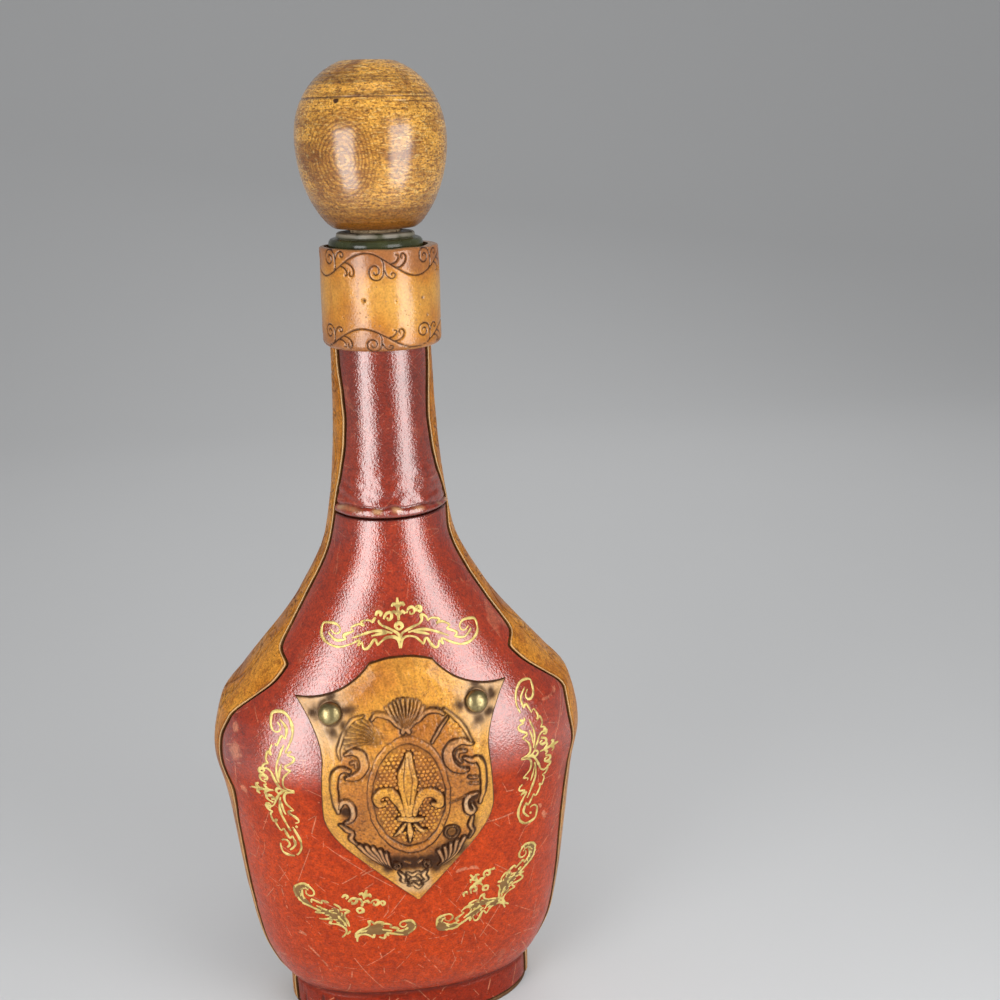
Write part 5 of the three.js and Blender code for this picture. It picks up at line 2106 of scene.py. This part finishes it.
@dataclass
class Stopper:
    """Turned wooden knob on a dowel and a cork."""

    knob_low: float = 283.0
    knob_mid: float = 309.5
    knob_top: float = 332.8
    knob_radius: float = 23.7
    bottom_flat: float = 13.5
    top_flat: float = 8.5
    top_power: float = 2.1
    socket_radius: float = 4.3
    socket_top: float = 298
    grooves: tuple[Point, ...] = ((322.0, 0.17, 0.24),)
    short_groove: Point = (320.6, 0.2, 0.2)
    lower_round: Places = ((-1.5, 0), (-0.6, 0.1), (0.2, 0.5), (0.9, 1.1))
    chatter_pitch: float = 1.15
    chatter_depth: float = 0.05
    cork_low: float = 259.8
    cork_top: float = 282.7
    cork_radius: float = 8.0
    cork_chamfer: float = 1.2
    cork_socket: float = 268.7
    around: int = 144
    wood: Finish = TurnedWood()
    cork: Finish = Cork()

    def knob_profile(self) -> list[Place]:
        """Draws the knob's outline.

        Returns:
            Radius and height, from the socket to the top.
        """
        def arc(end_z: float, flat: float, power: float, steps: int) -> list[Place]:
            """Arc from the widest ring to a flat, an ellipse where the power is 2.

            Args:
                end_z: Height of the flat.
                flat: Its radius.
                power: Power of the curve.
                steps: Number of places.

            Returns:
                The places, from the widest ring.
            """
            bend = 2 / power
            end = math.acos((flat / self.knob_radius) ** (1 / bend))
            reach = (end_z - self.knob_mid) / math.sin(end) ** bend
            return [(self.knob_radius * math.cos(a) ** bend, self.knob_mid + reach * math.sin(a) ** bend)
                    for a in np.linspace(0, end, steps)]

        walls = ((self.socket_radius, z) for z in (self.socket_top, self.knob_low))
        socket = [(0.4, self.socket_top), *walls]
        low = arc(self.knob_low, self.bottom_flat, 2, 60)[::-1]
        high = arc(self.knob_top, self.top_flat, self.top_power, 120)[1:]
        flat = [(share * self.top_flat, self.knob_top) for share in (0.94, 0.8, 0.5, 0.15)]
        rounded = [(self.bottom_flat + out, self.knob_low + up) for out, up in self.lower_round]
        low = [place for place in low if place[1] > self.knob_low + 1.4]
        return [*socket, (8, self.knob_low), (10, self.knob_low), *rounded, *low, *high, *flat]

    def build(self) -> None:
        """Builds the knob and the cork, and dresses the dowel."""
        profile = self.knob_profile()
        rings = lathe(profile, self.around)
        z = rings[..., 2]
        radius, height = np.hsplit(np.array(profile), 2)
        skin_side = (radius > self.bottom_flat - 0.01) | (height > self.knob_mid)
        groove = sum(bell(z - at, breadth) * depth for at, breadth, depth in self.grooves) * skin_side
        at, breadth, depth = self.short_groove
        groove = groove + depth * bell(z - at, breadth) * soft_step(rings[..., 0], 1, 9)
        chatter = self.chatter_depth * np.sin(2 * np.pi * z / self.chatter_pitch)
        chatter = chatter * soft_step(np.abs(z - self.knob_mid), 8, 20)
        uneven = 0.16 * ripple(rings, 17, 6.1) + 0.04 * ripple(rings * (1, 1, 3), 5, 2.2)
        lift = (uneven + chatter) * skin_side - groove
        skin = Skin.turned(rings + lift[..., None] * outward(rings))
        skin.mark("groove", np.clip(groove / 0.3, 0, 0.85))
        timber = self.wood.make()
        settle(skin.piece("ball_knob", timber), Body.STOPPER, ["stopper_knob"])
        frame["nodes"]["stopper_dowel"].data.materials.clear()
        frame["nodes"]["stopper_dowel"].data.materials.append(timber)
        chamfer = np.linspace(0, self.cork_chamfer, 4)
        side = np.linspace(self.cork_low + self.cork_chamfer, self.cork_top - 0.3, 60)
        profile = [
            (0.4, self.cork_low), (4, self.cork_low),
            *((self.cork_radius - self.cork_chamfer + c, self.cork_low + c) for c in chamfer),
            *((self.cork_radius, height) for height in side[1:]),
            (self.cork_radius - 0.3, self.cork_top), (self.socket_radius, self.cork_top),
            (self.socket_radius, self.cork_socket), (0.4, self.cork_socket),
        ]
        rings = lathe(profile, self.around)
        pits = 0.35 * soft_step(ripple(rings, 1.7, 4.4), 0.35, 0.6) * (np.array(profile)[:, :1] > 7)
        skin = Skin.turned(rings - pits[..., None] * outward(rings))
        settle(skin.piece("tapered_cork", self.cork.make()), Body.STOPPER, ["stopper_cork"])


@dataclass
class BasePad:
    """Leather pad that closes the wrap under the foot."""

    form: FlaskForm
    thickness: float = 1.5
    inset: float = 0.6
    edge_round: float = 0.5
    around: int = 160
    finish: Finish = TooledLeather(
        "base_pad_leather", pale=(0.16, 0.075, 0.03), warm=(0.10, 0.04, 0.016), deep=(0.06, 0.022, 0.01),
        gloss=0.6)

    def build(self) -> None:
        """Builds the pad."""
        turn = full_turn(self.around)
        bends = np.linspace(0, np.pi / 2, 5)
        drop = [(self.edge_round * (1 - math.sin(a)), self.edge_round * (1 - math.cos(a))) for a in bends]
        low = [(40, 0), (20, 0), (6, 0), *drop]
        high = [(inset, self.thickness - height) for inset, height in drop[::-1]]
        rings = []
        for inset, height in [*low, *high, (8, self.thickness)]:
            scale = max(0.02, 1 - (inset + self.inset) / self.form.outline[0][1])
            rim = self.form.point(0, turn, 0) * (scale, scale, 0)
            rings.append(rim + (0, 0, height))
        skin = Skin.turned(np.array(rings))
        settle(skin.piece("base_leather_pad", self.finish.make()), Body.BOTTLE, ["base_pad"])


@dataclass
class Studio:
    """Pale sweep, two soft boxes, two fills and the camera at the photograph's view."""

    eye: Point = (-19.1, -392.2, 312.3)
    yaw: float = 8.35
    pitch: float = 17.21
    roll: float = 1.14
    lens: float = 43.2
    sensor: float = 36
    target: Point = (0, 0, 170)
    boxes: tuple[tuple[str, float, float, float, Place, float], ...] = (
        ("left_soft_box", -41.5, 4, 380, (185, 400), 1.16),
        ("right_soft_box", 41, 8, 380, (205, 400), 1.14),
        ("top_fill", 10, 74, 1000, (700, 500), 3.8),
        ("back_fill", 165, 40, 1100, (700, 700), 3.5),
    )
    sky: Colour = (0.80, 0.82, 0.85)
    sky_strength: float = 0.22
    sweep_front: float = -1600
    sweep_back: float = 900
    sweep_radius: float = 700
    sweep_top: float = 2200
    sweep_half: float = 3000
    paper: Finish = StudioPaper()

    def build(self) -> None:
        """Sets the floor, the lights and the camera."""
        self.lay_sweep()
        self.light()
        self.place_camera()
        bpy.context.scene.view_settings.view_transform = "Standard"

    def lay_sweep(self) -> None:
        """Lays the floor, which curves up behind the decanter."""
        bend = np.linspace(0, np.pi / 2, 24)
        wall = self.sweep_back + self.sweep_radius
        y = [self.sweep_front, *(self.sweep_back + self.sweep_radius * np.sin(bend)), wall]
        z = [0, *(self.sweep_radius * (1 - np.cos(bend))), self.sweep_top]
        grid = np.array([[(x, a, b) for x in (-self.sweep_half, self.sweep_half)] for a, b in zip(y, z)])
        mesh = bpy.data.meshes.new("pale_sweep")
        at = np.arange(grid.shape[0] * 2).reshape(-1, 2)
        mesh.from_pydata((grid.reshape(-1, 3) * MM).tolist(), [], grid_quads(at))
        mesh.shade_smooth()
        mesh.materials.append(self.paper.make())
        stand("pale_sweep", mesh)

    def light(self) -> None:
        """Hangs the soft boxes and sets the sky."""
        for name, azimuth, height, distance, (wide, tall), power in self.boxes:
            lamp = bpy.data.lights.new(name, "AREA")
            lamp.shape, lamp.size, lamp.size_y, lamp.energy = "RECTANGLE", wide * MM, tall * MM, power
            hung = stand(name, lamp)
            a, e = math.radians(azimuth), math.radians(height)
            way = Vector((math.sin(a) * math.cos(e), -math.cos(a) * math.cos(e), math.sin(e)))
            hung.location = (Vector(self.target) + way * distance) * MM
            hung.rotation_euler = way.to_track_quat("Z", "Y").to_euler()
            hung.visible_camera = False
            hung.visible_glossy = not name.endswith("fill")
        world = bpy.data.worlds.new("soft_sky")
        world.use_nodes = True
        graph = Graph(world.node_tree)
        inputs = {"Color": (*self.sky, 1), "Strength": self.sky_strength}
        sky = graph.add("ShaderNodeBackground", inputs)
        graph.add("ShaderNodeOutputWorld", {"Surface": sky.outputs[0]})
        bpy.context.scene.world = world

    def place_camera(self) -> None:
        """Places the camera where the photograph was taken."""
        yaw, pitch, roll = (math.radians(angle) for angle in (self.yaw, self.pitch, self.roll))
        lens = bpy.data.cameras.new("photo_view")
        lens.lens, lens.sensor_width, lens.clip_start = self.lens, self.sensor, 0.01
        camera = stand("photo_view", lens)
        aim = Matrix.Rotation(-yaw, 4, "Z") @ Matrix.Rotation(math.pi / 2 - pitch, 4, "X")
        place = Matrix.Translation(Vector(self.eye) * MM)
        camera.matrix_world = place @ aim @ Matrix.Rotation(-roll, 4, "Z")
        bpy.context.scene.camera = camera


def main() -> None:
    """Builds the decanter's pieces in order, then the studio."""
    logging.basicConfig(level=logging.INFO, format="%(name)s %(message)s")
    form, vine = FlaskForm(), ScrollVine()
    for made in (GlassFlask(form), RedPanels(form), SideGussets(form, vine), NeckCollar(form, vine),
                 ShieldBadge(form), Gilding(form, AcanthusStamp()), Stopper(), BasePad(form), Studio()):
        made.build()


if __name__ == "__main__":
    main()
